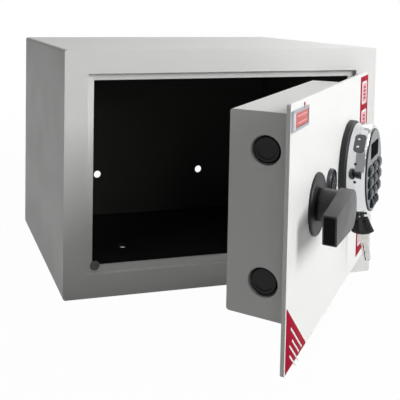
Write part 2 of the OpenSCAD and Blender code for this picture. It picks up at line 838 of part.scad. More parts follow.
// Black base of the keypad, with two cheeks that hold the key's pin
module keypad_base() {
    color([0.12, 0.12, 0.13]) on_door() difference() {
        union() {
            rod_y(pad_x, pad_bevel - pad_base_t, 0, pad_z, pad_base_d);
            translate([pad_x, -pad_base_t, pad_z]) rotate([-90, 0, 0])
                cylinder(h = pad_bevel, d1 = pad_base_d - 2 * pad_bevel, d2 = pad_base_d);
            for (x0 = [-cheek_gap - cheek_w, cheek_gap]) {
                block([pad_x + x0, -hang_out - 3, hang_z - 2.4],
                      [pad_x + x0 + cheek_w, -1, pad_z - pad_ring_d / 2 - free_gap]);
                block([pad_x + x0, pad_bevel - pad_base_t, hang_z - 2.4],
                      [pad_x + x0 + cheek_w, -1, pad_z - pad_base_d / 2 + cheek_root]);
            }
        }
        rod_y(pad_x, -pad_base_t - 1, 1, pad_z, 12);
        rod_x(pad_x - 20, pad_x + 20, -hang_out, hang_z, hang_pin_d);
    }
}

// Silver ring of the keypad, with a seat for the face and a pocket for the contact pad
module keypad_ring() {
    color("silver") on_door() difference() {
        translate([pad_x, ring_y1, pad_z]) rotate([-90, 0, 0])
            cylinder(h = pad_ring_h, d1 = pad_front_d, d2 = pad_ring_d);
        rod_y(pad_x, ring_y1 - 1, ring_y0 + 1, pad_z, 2 * seat_r);
        rod_y(pad_x, ring_y1 - 1, face_y0, pad_z, 2 * (face_r + seam_w));
        contact_shape(0);
    }
}

// Wedge of ring wall that the contact pad fills, shrunk by a gap
module contact_shape(gap) {
    translate([pad_x, pad_band_y, pad_z]) rotate([90, 0, 0])
        rotate([0, 0, pad_angle - pad_arc / 2 + gap * 2])
            rotate_extrude(angle = pad_arc - gap * 4)
                translate([pad_front_d / 2 - pad_depth, -pad_band / 2 + gap])
                    square([pad_depth + 6, pad_band - 2 * gap]);
}

// Dark pad with the contacts for an outside battery
module contact_pad() {
    color([0.2, 0.2, 0.22]) on_door() intersection() {
        contact_shape(0.1);
        translate([pad_x, ring_y1, pad_z]) rotate([-90, 0, 0])
            cylinder(h = pad_ring_h, d1 = pad_front_d - 0.4, d2 = pad_ring_d - 0.4);
    }
}

// Front face of the keypad with the display and key openings
module keypad_face() {
    color("silver") on_door() difference() {
        union() {
            rod_y(pad_x, face_y1 + 0.6, face_y0, pad_z, 2 * face_r);
            translate([pad_x, face_y1, pad_z]) rotate([-90, 0, 0])
                cylinder(h = 0.6, d1 = 2 * face_r - 1.2, d2 = 2 * face_r);
        }
        raise_y(face_y1 - 1, face_y0 + 1)
            round_rect(pad_x - lcd_w / 2, lcd_z - lcd_h / 2, pad_x + lcd_w / 2,
                       lcd_z + lcd_h / 2, 1.5);
        for (r = [0 : 3], c = [-1 : 1])
            raise_y(face_y1 - 1, face_y0 + 1) key_outline(c, r, free_gap);
    }
}

// Outline of the key in column c and row r, grown by a gap
module key_outline(c, r, grow) {
    w = key_row_w[r];
    x = pad_x + c * (w + key_space);
    z = key_row_z[r];
    round_rect(x - w / 2 - grow, z - key_h / 2 - grow, x + w / 2 + grow, z + key_h / 2 + grow,
               key_h / 2 - 0.1 + grow);
}

// Dark display window set into the face, with the display behind it
module lcd_window() {
    color([0.06, 0.07, 0.08]) on_door() {
        raise_y(face_y1 + 0.4, face_y0 + 0.5)
            round_rect(pad_x - lcd_w / 2 + 0.1, lcd_z - lcd_h / 2 + 0.1,
                       pad_x + lcd_w / 2 - 0.1, lcd_z + lcd_h / 2 - 0.1, 1.4);
        block([pad_x - lcd_w / 2 + 4, face_y0 + 0.5, lcd_z - lcd_h / 2 + 2],
              [pad_x + lcd_w / 2 - 4, board_y - board_t, lcd_z + lcd_h / 2 - 2]);
    }
}

// Circuit board behind the keys, on posts that reach the base
module keypad_board() {
    color("darkgreen") on_door() {
        rod_y(pad_x, board_y - board_t, board_y, pad_z, 2 * seat_r - 1);
        for (a = [45 : 90 : 315])
            rod_y(pad_x + 27 * cos(a), board_y, -pad_base_t, pad_z + 27 * sin(a), 5);
    }
}

// One domed key with the flange that keeps it behind the face
module keypad_key(c, r) {
    w = key_row_w[r];
    x = pad_x + c * (w + key_space);
    z = key_row_z[r];
    dome_r = (w * w / 4 + key_rise * key_rise) / (2 * key_rise);
    color([0.09, 0.14, 0.15]) on_door() {
        intersection() {
            translate([x, face_y1 - key_rise + dome_r, z]) sphere(r = dome_r, $fn = 80);
            raise_y(face_y1 - key_rise - 1, key_foot_y) key_outline(c, r, 0);
        }
        raise_y(face_y0 + free_gap, face_y0 + free_gap + 1) key_outline(c, r, key_flange);
    }
}
module key_1() { keypad_key(-1, 0); }
module key_2() { keypad_key(0, 0); }
module key_3() { keypad_key(1, 0); }
module key_4() { keypad_key(-1, 1); }
module key_5() { keypad_key(0, 1); }
module key_6() { keypad_key(1, 1); }
module key_7() { keypad_key(-1, 2); }
module key_8() { keypad_key(0, 2); }
module key_9() { keypad_key(1, 2); }
module key_clear() { keypad_key(-1, 3); }
module key_0() { keypad_key(0, 3); }
module key_enter() { keypad_key(1, 3); }

// Lock electronics on posts inside the housing's back
module control_board() {
    bx0 = tray_x0;
    bx1 = reset_x + board_gap;
    bz0 = tray_z1 + board_gap;
    bz1 = box_z1 - board_gap;
    by = box_in_y - board_stand;
    color("darkgreen") on_door() {
        block([bx0, by - board_t, bz0], [bx1, by, bz1]);
        for (x = [bx0 + 4, bx1 - 4], z = [bz0 + 4, bz1 - 4]) rod_y(x, by, box_in_y, z, 5);
        block([bx0 + 10, by - board_t - 3, bz0 + 10], [bx0 + 24, by - board_t, bz0 + 24]);
        block([bx0 + 30, by - board_t - 6, bz0 + 8], [bx0 + 42, by - board_t, bz0 + 18]);
        block([reset_x - 3, by, reset_z - 3], [reset_x + 3, reset_y0 - reset_press - 0.4, reset_z + 3]);
    }
}

// Open tray for the batteries, behind the hole in the housing's back
module battery_tray() {
    color("black") on_door() difference() {
        block([tray_x0, tray_y0, tray_z0], [tray_x1, box_in_y, tray_z1]);
        block([tray_x0 + tray_wall, tray_y0 + tray_wall, tray_z0 + tray_wall],
              [tray_x1 - tray_wall, box_in_y + 1, tray_z1 - tray_wall]);
    }
}

// Four round cells with their caps
module batteries() {
    mid = (tray_x0 + tray_x1) / 2;
    color("olivedrab") on_door() for (i = [0 : cells - 1]) {
        z = tray_z0 + tray_wall + cell_step / 2 + i * cell_step;
        y = tray_y0 + tray_wall + cell_d / 2;
        side = i % 2 == 0 ? 1 : -1;
        rod_x(mid - cell_len / 2, mid + cell_len / 2, y, z, cell_d);
        rod_x(side > 0 ? mid + cell_len / 2 : mid - cell_len / 2 - cell_cap_t,
              side > 0 ? mid + cell_len / 2 + cell_cap_t : mid - cell_len / 2, y, z, cell_cap_d);
    }
}

// Sliding cover over the batteries
module battery_cover() {
    y0 = box_y1 + free_gap;
    color("white") on_door() difference() {
        block([tray_x0 - cover_lap, y0, tray_z0 - cover_lap],
              [tray_x1 + cover_lap, y0 + cover_t, tray_z1 + cover_lap]);
        for (i = [0 : 4])
            block([tray_x0 + 16, y0 + cover_t - 0.6, tray_z1 - 12 + i * 2.4],
                  [tray_x1 - 16, y0 + cover_t + 1, tray_z1 - 10.8 + i * 2.4]);
    }
}

// Red button that resets the code
module reset_button() {
    color("red") on_door() {
        rod_y(reset_x, reset_y0, box_y1 + reset_rise, reset_z, reset_d);
        rod_y(reset_x, box_in_y - 1.5, box_in_y - free_gap, reset_z, reset_d + 3);
    }
}

// Metal frame of the blank badge near the door's free upper corner
module badge_frame() {
    bx0 = plate_x0 + 1.5;
    bx1 = bx0 + 44;
    bz1 = plate_z1 - 5.5;
    bz0 = bz1 - 15.5;
    color("silver") on_door() difference() {
        raise_y(-1.6, 0) round_rect(bx0, bz0, bx1, bz1, 1);
        raise_y(-2, -0.8) round_rect(bx0 + 3, bz0 + 2.2, bx1 - 2.2, bz1 - 2.2, 0.6);
    }
}

// Pin through the two cheeks that the key hangs on
module key_pin() {
    reach = cheek_gap + cheek_w;
    color("silver") on_door() rod_x(pad_x - reach, pad_x + reach, -hang_out, hang_z, hang_pin_d);
}

// Turns a piece of the hanging key, drawn about the pin, to where it leans
module on_pin() {
    on_door() translate([pad_x, -hang_out, hang_z]) rotate([-key_lean, 0, 0]) children();
}

// Fan-shaped head of the hanging key
module key_bow() {
    half = fan_w / 2;
    drop = sqrt(fan_r * fan_r - half * half);
    top = fan_top_w / 2;
    far = top + (half - top) * (1.5 * drop - fan_edge) / (drop - fan_edge);
    color([0.13, 0.13, 0.14]) on_pin() raise_x(-fan_t / 2, fan_t / 2) difference() {
        union() {
            circle(r = hang_r);
            intersection() {
                circle(r = fan_r);
                polygon([[-hang_r, 0], [hang_r, 0], [top, -fan_edge], [far, -1.5 * drop],
                         [-far, -1.5 * drop], [-top, -fan_edge]]);
            }
        }
        circle(d = hang_pin_d + 2 * run_fit + 0.1);
    }
}

// Steel blade of the key with its shoulder and groove
module key_blade() {
    color("silver") on_pin() difference() {
        union() {
            block([-blade_t / 2, -shoulder_w / 2, -fan_r - shoulder_h],
                  [blade_t / 2, shoulder_w / 2, -fan_r]);
            block([-blade_t / 2, -blade_w / 2, -fan_r - blade_len],
                  [blade_t / 2, blade_w / 2, -fan_r - shoulder_h + 1]);
        }
        block([-blade_t, -0.5, -fan_r - blade_len - 1],
              [-blade_t / 2 + 0.6, 0.9, -fan_r - shoulder_h - 1]);
    }
}

body_shell();
back_panel();
door_frame();
floor_mat();
frame_bumper();
hinge_brackets();
hinge_pins();
hinge_clips();
door_plate();
door_box();
box_posts();
box_screws();
hinge_arm_upper();
hinge_arm_lower();
hinge_bushes();
bolt_guides();
bolt_upper();
bolt_lower();
bolt_carriage();
bolt_screws();
handle_rosette();
spindle_bush();
handle_knob();
handle_spindle();
cam_arm();
spindle_clip();
solenoid_frame();
solenoid_coil();
solenoid_plunger();
override_barrel();
override_plug();
override_tail();
keypad_base();
keypad_ring();
keypad_face();
lcd_window();
keypad_board();
contact_pad();
key_1();
key_2();
key_3();
key_4();
key_5();
key_6();
key_7();
key_8();
key_9();
key_clear();
key_0();
key_enter();
control_board();
battery_tray();
batteries();
battery_cover();
reset_button();
badge_frame();
key_pin();
key_bow();
key_blade();
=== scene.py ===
"""Dresses a small electronic combination safe whose door stands open.

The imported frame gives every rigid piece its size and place. The classes below put rounded edges,
turned parts, domed keys, labels and finishes on it, one class for each sub-assembly. Lengths are in
millimetres in a local frame, and one method turns them into metres in the frame of the model.
"""

import json
import logging
import math
from collections.abc import Callable, Iterator, Mapping, Sequence
from contextlib import contextmanager
from dataclasses import dataclass, field, replace
from enum import Enum
from functools import cache

import bmesh
import bpy
import numpy as np
from mathutils import Matrix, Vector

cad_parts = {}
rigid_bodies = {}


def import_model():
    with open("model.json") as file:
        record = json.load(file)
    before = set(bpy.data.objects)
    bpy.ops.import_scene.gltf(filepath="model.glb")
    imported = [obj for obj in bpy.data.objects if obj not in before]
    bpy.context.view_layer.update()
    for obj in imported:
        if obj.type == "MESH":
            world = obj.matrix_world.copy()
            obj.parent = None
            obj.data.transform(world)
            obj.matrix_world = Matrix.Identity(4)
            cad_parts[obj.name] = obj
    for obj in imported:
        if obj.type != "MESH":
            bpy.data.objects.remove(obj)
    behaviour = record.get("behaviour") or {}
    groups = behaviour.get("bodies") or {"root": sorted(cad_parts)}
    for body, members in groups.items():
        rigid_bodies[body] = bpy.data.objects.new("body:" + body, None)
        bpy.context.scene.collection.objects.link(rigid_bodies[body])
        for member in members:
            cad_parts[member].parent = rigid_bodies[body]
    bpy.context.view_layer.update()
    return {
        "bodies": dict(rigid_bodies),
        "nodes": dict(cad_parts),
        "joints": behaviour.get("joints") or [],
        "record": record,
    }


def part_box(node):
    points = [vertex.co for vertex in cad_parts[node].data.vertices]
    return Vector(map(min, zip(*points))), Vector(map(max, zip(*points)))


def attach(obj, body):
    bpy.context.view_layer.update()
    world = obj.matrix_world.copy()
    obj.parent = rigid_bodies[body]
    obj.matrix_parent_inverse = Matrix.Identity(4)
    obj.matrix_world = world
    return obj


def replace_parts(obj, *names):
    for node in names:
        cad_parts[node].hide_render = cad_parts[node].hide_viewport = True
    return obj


LOG = logging.getLogger("combination_safe")
MM = 0.001
MERGE_MM = 0.002
BEVEL_ABOVE = 40.0
BEVEL_STEPS = 3
WHITE = (1.0, 1.0, 1.0, 1.0)
Thing, Tree, Socket = bpy.types.Object, bpy.types.NodeTree, bpy.types.NodeSocket
Pair = tuple[float, float]
# Octaves of the fine and of the slow noise, and the values of the slow one at which a finish
# reaches the ends of its colour and of its gloss.
GRAIN_DETAIL, DRIFT_DETAIL = 3.0, 4.0
COLOUR_ENDS: Pair = (0.35, 0.65)
GLOSS_ENDS: Pair = (0.3, 0.7)


class Rider(Enum):
    """Bodies of the frame that new pieces move with."""

    BODY = "body"
    DOOR = "door"
    BOLTS = "bolt_work"
    HANDLE = "handle"
    COVER = "cover"
    RESET = "reset"
    KEY = "hanging_key"


class Shading(Enum):
    """Angle in degrees above which an edge of a new piece shows as a crease."""

    SOFT = 60.0
    CREASED = 32.0


def linear(colour: str) -> tuple[float, float, float, float]:
    """Turns an sRGB hex colour into linear values.

    Args:
        colour: The colour as "#RRGGBB".

    Returns:
        Linear red, green and blue, and an alpha of 1.
    """
    value = np.array([int(colour[i:i + 2], 16) for i in (1, 3, 5)]) / 255
    low, high = value / 12.92, ((value + 0.055) / 1.055) ** 2.4
    return (*np.where(value <= 0.04045, low, high).tolist(), 1.0)


def cleared(owner: bpy.types.Material | bpy.types.World) -> Tree:
    """Switches on the nodes of a material or world and returns its emptied tree.

    Args:
        owner: The material or the world.

    Returns:
        The tree.
    """
    owner.use_nodes = True
    owner.node_tree.nodes.clear()
    return owner.node_tree


def add(
    tree: Tree,
    kind: str,
    inputs: Mapping[str | int, object] | None = None,
    out: str | int = 0,
    **settings: object,
) -> Socket | None:
    """Adds one node with its settings, its values and its links.

    Args:
        tree: The tree that the node goes into.
        kind: Blender's name for the type of node.
        inputs: For each input socket, the output socket or the value that feeds it.
        out: The output socket that is returned.
        settings: Properties of the node; stops is a list of (place, colour) for a colour ramp.

    Returns:
        That output socket, or nothing for a node that has none.
    """
    made = tree.nodes.new(kind)
    stops = settings.pop("stops", ())
    for name, value in settings.items():
        setattr(made, name, value)
    for name, value in (inputs or {}).items():
        if isinstance(value, Socket):
            tree.links.new(value, made.inputs[name])
        else:
            made.inputs[name].default_value = value
    for index, (place, colour) in enumerate(stops):
        ramp = made.color_ramp.elements
        stop = ramp[index] if index < len(ramp) else ramp.new(place)
        stop.position, stop.color = place, colour
    return made.outputs[out] if len(made.outputs) else None


def calc(tree: Tree, operation: str, *values: Socket | float) -> Socket:
    """Returns what a Math node makes of its values."""
    return add(tree, "ShaderNodeMath", dict(enumerate(values)), operation=operation)


def mapped(
    tree: Tree, value: Socket, source: Pair, target: Pair, curve: str = "LINEAR"
) -> Socket:
    """Returns a value carried from one range to another by a Map Range node.

    Args:
        tree: The tree that the nodes go into.
        value: The value that is carried over.
        source: Range that it comes from.
        target: Range that it goes to.
        curve: Blender's name for the kind of step between the ends.

    Returns:
        The socket with the carried value.
    """
    names = ("Value", "From Min", "From Max", "To Min", "To Max")
    inputs = dict(zip(names, (value, *source, *target)))
    return add(tree, "ShaderNodeMapRange", inputs, interpolation_type=curve)


def noise(tree: Tree, place: Socket, size_mm: float, detail: float) -> Socket:
    """Returns a noise whose largest spots are about size_mm across."""
    inputs = {"Vector": place, "Scale": 1 / (size_mm * MM), "Detail": detail}
    return add(tree, "ShaderNodeTexNoise", inputs)


def mirror_rays(tree: Tree) -> Socket:
    """Returns 1 for the rays that reach a place by a mirror or through a clear material."""
    names = ("Is Glossy Ray", "Is Transmission Ray")
    return calc(tree, "MAXIMUM", *(add(tree, "ShaderNodeLightPath", out=n) for n in names))


@dataclass(frozen=True)
class Finish:
    """A surface as its maker would name it, with its colour, gloss and grain.

    Attributes:
        name: Common name of the material and how its surface was made.
        colour: sRGB hex colour.
        roughness: Mean roughness.
        metallic: 1 for bare or plated metal.
        specular: Strength of the mirror reflection of a plastic or paint, 0.5 for plain gloss.
        grain_mm: Size of the finest unevenness.
        grain_depth_mm: Height of that unevenness.
        stretch: How much the grain is drawn out along X, Y and Z, below 1 for long marks.
        drift_mm: Size of the slow changes in colour and gloss.
        tint: How much darker the colour drifts, as a share.
        gloss_drift: How far the roughness drifts to either side.
    """

    name: str
    colour: str
    roughness: float
    metallic: float = 0.0
    specular: float = 0.5
    grain_mm: float = 1.0
    grain_depth_mm: float = 0.02
    stretch: tuple[float, float, float] = (1.0, 1.0, 1.0)
    drift_mm: float = 45.0
    tint: float = 0.05
    gloss_drift: float = 0.04

    def height(self, tree: Tree, place: Socket) -> Socket:
        """Returns the height of the fine relief, a noise of grain_mm drawn out by stretch."""
        drawn = add(tree, "ShaderNodeMapping", {"Vector": place, "Scale": self.stretch})
        return noise(tree, drawn, self.grain_mm, GRAIN_DETAIL)

    def colour_at(self, tree: Tree, place: Socket, drift: Socket) -> Socket:
        """Returns the colour, drifting from the written one to one darker by tint.

        Args:
            tree: The tree that the nodes go into.
            place: Not used.
            drift: The socket of the slow noise.

        Returns:
            The socket with the colour.
        """
        bright = linear(self.colour)
        dark = (*(c * (1 - self.tint) for c in bright[:3]), 1.0)
        stops = list(zip(COLOUR_ENDS, (dark, bright)))
        return add(tree, "ShaderNodeValToRGB", {"Fac": drift}, stops=stops)

    def roughness_at(self, tree: Tree, place: Socket, drift: Socket) -> Socket:
        """Returns the roughness, drifting by gloss_drift to either side of its mean."""
        ends = (self.roughness - self.gloss_drift, self.roughness + self.gloss_drift)
        return mapped(tree, drift, GLOSS_ENDS, ends)

    def build(self) -> bpy.types.Material:
        """Makes the material: colour and gloss drift slowly, and a fine relief breaks the light.

        Returns:
            The material.
        """
        material = bpy.data.materials.new(self.name)
        tree = cleared(material)
        place = add(tree, "ShaderNodeTexCoord", out="Object")
        slow = noise(tree, place, self.drift_mm, DRIFT_DETAIL)
        inputs = {"Height": self.height(tree, place), "Distance": self.grain_depth_mm * MM}
        values = {
            "Base Color": self.colour_at(tree, place, slow),
            "Roughness": self.roughness_at(tree, place, slow),
            "Metallic": self.metallic,
            "Normal": add(tree, "ShaderNodeBump", inputs),
        }
        if not self.metallic:
            values["Specular IOR Level"] = self.specular
        shader = add(tree, "ShaderNodeBsdfPrincipled", values)
        add(tree, "ShaderNodeOutputMaterial", {"Surface": shader})
        return material


@dataclass(frozen=True)
class LinedCoat(Finish):
    """White powder coat outside and a dark matt lining on every face inside a box.

    Attributes:
        lining: sRGB hex colour of the lining.
        lining_roughness: Roughness of the lining.
        centre: Middle of the lined box, in metres.
        half: Half of the lined box's sides, in metres.
    """

    lining: str = "#5A5856"
    lining_roughness: float = 0.85
    centre: tuple[float, float, float] = (0.0, 0.0, 0.0)
    half: tuple[float, float, float] = (1.0, 1.0, 1.0)

    def inside(self, tree: Tree, place: Socket) -> Socket:
        """Returns 1 inside the box: the largest of |p - centre| - half is below 0 there.

        Args:
            tree: The tree that the nodes go into.
            place: The socket with the place that is shaded, in the object's own coordinates.

        Returns:
            The socket with 1 or 0.
        """
        kind = "ShaderNodeVectorMath"
        away = add(tree, kind, {0: place, 1: self.centre}, operation="SUBTRACT")
        size = add(tree, kind, {0: away}, operation="ABSOLUTE")
        over = add(tree, kind, {0: size, 1: self.half}, operation="SUBTRACT")
        x, y, z = (add(tree, "ShaderNodeSeparateXYZ", {0: over}, axis) for axis in range(3))
        deep = calc(tree, "MAXIMUM", calc(tree, "MAXIMUM", x, y), z)
        return calc(tree, "LESS_THAN", deep, 0.0)

    def colour_at(self, tree: Tree, place: Socket, drift: Socket) -> Socket:
        """Returns the coat's colour outside the box and the lining's inside it.

        Args:
            tree: The tree that the nodes go into.
            place: The socket with the place that is shaded, in the object's own coordinates.
            drift: The socket of the slow noise.

        Returns:
            The socket with the colour.
        """
        coat, lining = super().colour_at(tree, place, drift), linear(self.lining)
        inputs = {0: self.inside(tree, place), 6: coat, 7: lining}
        return add(tree, "ShaderNodeMix", inputs, 2, data_type="RGBA")

    def roughness_at(self, tree: Tree, place: Socket, drift: Socket) -> Socket:
        """Returns the coat's roughness outside the box and the lining's inside it.

        Args:
            tree: The tree that the nodes go into.
            place: The socket with the place that is shaded, in the object's own coordinates.
            drift: The socket of the slow noise.

        Returns:
            The socket with the roughness.
        """
        coat = super().roughness_at(tree, place, drift)
        inputs = {0: self.inside(tree, place), 2: coat, 3: self.lining_roughness}
        return add(tree, "ShaderNodeMix", inputs, data_type="FLOAT")


@dataclass(frozen=True)
class RibbedRubber(Finish):
    """Rubber sheet with straight moulded ribs.

    Attributes:
        rib_mm: Distance from rib to rib.
        rib_depth_mm: Height of the ribs.
    """

    rib_mm: float = 3.0
    rib_depth_mm: float = 0.4

    def height(self, tree: Tree, place: Socket) -> Socket:
        """Returns the ribs' sine wave along X with the fine grain added at its real share.

        Args:
            tree: The tree that the nodes go into.
            place: The socket with the place that is shaded, in the object's own coordinates.

        Returns:
            The socket with the height.
        """
        inputs = {"Vector": place, "Scale": math.pi / (10 * self.rib_mm * MM)}
        ribs = add(
            tree, "ShaderNodeTexWave", inputs, 1, wave_type="BANDS", bands_direction="X"
        )
        share = self.grain_depth_mm / self.rib_depth_mm
        return calc(tree, "MULTIPLY_ADD", super().height(tree, place), share, ribs)


@dataclass(frozen=True)
class CircuitBoard(Finish):
    """Solder-resist green board with paler copper tracks under the resist.

    Attributes:
        track: sRGB hex colour of the resist over copper.
        track_mm: Distance from track to track.
        track_ends: Distances from a cell's middle, in cells, over which green turns to track.
    """

    track: str = "#2F7A4C"
    track_mm: float = 2.5
    track_ends: Pair = (0.42, 0.5)

    def colour_at(self, tree: Tree, place: Socket, drift: Socket) -> Socket:
        """Returns green with tracks along the cell borders of a square-metric Voronoi pattern.

        Args:
            tree: The tree that the nodes go into.
            place: The socket with the place that is shaded, in the object's own coordinates.
            drift: Not used.

        Returns:
            The socket with the colour.
        """
        inputs = {"Vector": place, "Scale": 1 / (self.track_mm * MM)}
        cells = add(
            tree, "ShaderNodeTexVoronoi", inputs, feature="F1", distance="CHEBYCHEV"
        )
        stops = list(zip(self.track_ends, (linear(self.colour), linear(self.track))))
        return add(tree, "ShaderNodeValToRGB", {"Fac": cells}, stops=stops)


@cache
def material_of(finish: Finish) -> bpy.types.Material:
    """Builds each finish once and returns its material."""
    return finish.build()


# Powder coat over zinc-phosphated sheet: a soft gloss broken by a shallow orange peel. The real
# peel is about 0.6 mm across and is drawn at 1.6 mm, so that it still shows in the render.
DOOR_COAT = Finish(
    "powder_coat_white_semigloss", "#F0F0EE", 0.42, specular=0.12, grain_mm=1.6,
    grain_depth_mm=0.012, tint=0.02,
)
# The same coat on the safe's body, a little more matt, with a dark lining inside.
BODY_COAT = LinedCoat(
    "powder_coat_white_lined", "#F0F0EE", 0.45, specular=0.3, grain_mm=1.6,
    grain_depth_mm=0.014, tint=0.02,
)
# Nitrile rubber sheet with ribs: a dull black that shows only by its lit rib edges.
MAT_RUBBER = RibbedRubber(
    "nitrile_rubber_ribbed", "#1E1F20", 0.80, grain_mm=0.8, grain_depth_mm=0.05, tint=0.25
)
# Moulded EPDM: a chalky grey that hardly reflects.
BUMPER_RUBBER = Finish(
    "epdm_rubber_moulded", "#7E7F81", 0.75, grain_mm=0.7, grain_depth_mm=0.03, tint=0.15
)
# Zinc-plated steel, brushed before plating: a cool grey metal with faint long marks.
ZINC_STEEL = Finish(
    "zinc_plated_steel", "#B9BEC4", 0.34, 1.0, grain_mm=0.6, grain_depth_mm=0.01,
    stretch=(1.0, 1.0, 0.08), tint=0.18, gloss_drift=0.08, drift_mm=14.0,
)
# Oil-blackened spring steel: nearly black with a dull metal sheen.
# The key's blade also takes it, as black strips of painted shade on its grooves' floors.
BLACK_STEEL_AND_GROOVE_SHADE = Finish(
    "oil_blackened_steel_and_groove_shade", "#3C3D40", 0.42, 1.0, grain_mm=0.8, grain_depth_mm=0.02,
    tint=0.3, drift_mm=10.0,
)
# Sintered bronze and turned brass: warm yellow with fine turning marks.
BRASS = Finish(
    "turned_brass", "#C9A356", 0.30, 1.0, grain_mm=0.5, grain_depth_mm=0.01,
    stretch=(1.0, 1.0, 0.2), tint=0.2, drift_mm=8.0,
)
# Cathodic e-coat on turned steel: black with soft highlights on the turned rings.
BOLT_BLACK = Finish(
    "e_coated_steel_black", "#121315", 0.36, specular=0.25, grain_mm=0.9,
    grain_depth_mm=0.02, tint=0.35, drift_mm=9.0,
)
# Graphite ABS from a finely sparked mould: dark face on, and grey at a low angle.
HANDLE_ABS = Finish(
    "abs_graphite_sparked", "#1B1C1E", 0.36, specular=0.5, grain_mm=0.9,
    grain_depth_mm=0.012, tint=0.2, drift_mm=18.0,
)
# Black ABS with the same spark texture, for the plate under the handle and the keypad's base.
BASE_ABS = Finish(
    "abs_black_sparked", "#1D1E20", 0.5, specular=0.4, grain_mm=0.9,
    grain_depth_mm=0.018, tint=0.25, drift_mm=20.0,
)
# Polished black ABS of the lock's cap and plug: deep black with a clear highlight.
# The lever's tip also takes it, as a black insert of painted shade on its end face.
CAP_ABS_AND_TIP_SHADE = Finish(
    "abs_black_polished_and_tip_shade", "#101112", 0.25, specular=0.06, grain_mm=3.0,
    grain_depth_mm=0.006, tint=0.3, drift_mm=12.0,
)
# Chrome on ABS: a bright mirror with the slight waviness of a moulded part.
CHROME = Finish(
    "chrome_plated_abs", "#DCDEE0", 0.10, 1.0, grain_mm=7.0, grain_depth_mm=0.05, tint=0.06,
    gloss_drift=0.03, drift_mm=14.0,
)
# Black chrome of the lock's rim: a dark metal that shows as a thin grey line round the lock.
BLACK_CHROME = Finish(
    "black_chrome_plate", "#55565A", 0.3, 1.0, grain_mm=0.6, grain_depth_mm=0.01, tint=0.15,
    drift_mm=8.0,
)
# Satin nickel of the contact studs: softer than the chrome and a little warmer.
NICKEL = Finish(
    "satin_nickel_plate", "#D8D6D2", 0.2, 1.0, grain_mm=0.6, grain_depth_mm=0.01, tint=0.12,
    drift_mm=8.0,
)
# Silver lacquer on ABS: half metallic from its fine flakes, with a satin gloss.
SILVER_LACQUER = Finish(
    "silver_lacquered_abs", "#8B8D90", 0.42, 0.5, specular=0.3, grain_mm=0.5,
    grain_depth_mm=0.01, tint=0.12, drift_mm=6.0,
)
# Smoked acrylic window with a coat against glare: almost black, also at a low angle.
SMOKED_ACRYLIC = Finish(
    "smoked_acrylic", "#1C1F21", 0.12, specular=0.0, grain_mm=12.0,
    grain_depth_mm=0.01, tint=0.3, gloss_drift=0.02, drift_mm=20.0,
)
# Grey PBT around the outside battery contacts: matt and a little dusty.
CONTACT_PBT = Finish(
    "pbt_dark_grey_moulded", "#55585C", 0.55, grain_mm=0.7, grain_depth_mm=0.02, tint=0.15,
    drift_mm=6.0,
)
# Silicone keys with a hard clear lacquer: dark teal with small sharp highlights.
KEY_SILICONE = Finish(
    "lacquered_silicone_teal", "#0B1E23", 0.24, specular=0.14, grain_mm=1.2,
    grain_depth_mm=0.01, tint=0.35, drift_mm=7.0,
)
# Screen-printed ink, satin white, for the blank boxes and the stripes on the labels.
WHITE_INK = Finish(
    "screen_ink_white", "#E4E6E5", 0.5, specular=0.3, grain_mm=0.6, grain_depth_mm=0.005
)
# Pad-printed grey figures on the keys: they stay quieter than the white labels.
KEY_INK = replace(WHITE_INK, name="pad_print_grey", colour="#8E999B", specular=0.1)
# Rose print inside the labels' boxes, a light field between white and the red film.
ROSE_INK = replace(WHITE_INK, name="screen_ink_rose", colour="#F0A4B0", specular=0.05)
# Maroon print of the short bars in the labels' boxes, the darkest spots on the strip.
MAROON_INK = replace(ROSE_INK, name="screen_ink_maroon", colour="#5E1024")
# Red self-adhesive vinyl: saturated and satin, with a slight roller texture.
RED_VINYL = Finish(
    "vinyl_red_satin", "#A60E2E", 0.55, specular=0.02, grain_mm=1.5,
    grain_depth_mm=0.006, tint=0.08, drift_mm=25.0,
)
# Coral enamel on the blank badge: softer and paler than the vinyl.
BADGE_ENAMEL = Finish(
    "enamel_coral", "#CE6E66", 0.35, specular=0.1, grain_mm=1.2, grain_depth_mm=0.01,
    tint=0.12, drift_mm=5.0,
)
# Nickel silver of the key's blade: pale warm metal with lengthwise milling marks.
KEY_METAL = Finish(
    "nickel_silver_milled", "#DCDBD8", 0.22, 1.0, grain_mm=0.5, grain_depth_mm=0.01,
    stretch=(1.0, 1.0, 0.1), tint=0.15, drift_mm=5.0,
)
# Black nylon of the key's head: matt, with its moulded ribs catching the light.
KEY_NYLON = Finish(
    "nylon_black_ribbed", "#191A1B", 0.46, grain_mm=0.6, grain_depth_mm=0.02,
    tint=0.25, drift_mm=6.0,
)
# White ABS of the sliding battery cover, moulded a shade warmer than the steel's coat.
COVER_ABS = Finish(
    "abs_white_moulded", "#ECEBE6", 0.38, grain_mm=0.9, grain_depth_mm=0.015, tint=0.04
)
# Black ABS of the battery tray, from a plain mould.
# The band round the keypad's face also takes it, as painted shade in the gap to the ring.
TRAY_ABS_AND_SEAM_SHADE = Finish("abs_black_plain_and_seam_shade", "#202123", 0.5, grain_mm=1.0, tint=0.2)
# Green solder resist over copper tracks.
BOARD = CircuitBoard("fr4_solder_resist", "#1E5A38", 0.34, grain_mm=1.4)
# Shrink sleeve of the cells: olive film with a soft gloss.
CELL_SLEEVE = Finish("pvc_shrink_sleeve", "#5F6B3C", 0.28, grain_mm=4.0, tint=0.2, drift_mm=12.0)
# Polished red ABS of the reset button.
RED_ABS = Finish("abs_red_polished", "#C4161C", 0.2, grain_mm=2.0, tint=0.12, drift_mm=4.0)
# Varnished polyester tape round the coil.
COIL_TAPE = Finish(
    "polyester_coil_tape", "#8A5A2E", 0.35, grain_mm=0.8, stretch=(1.0, 1.0, 6.0), tint=0.3
)


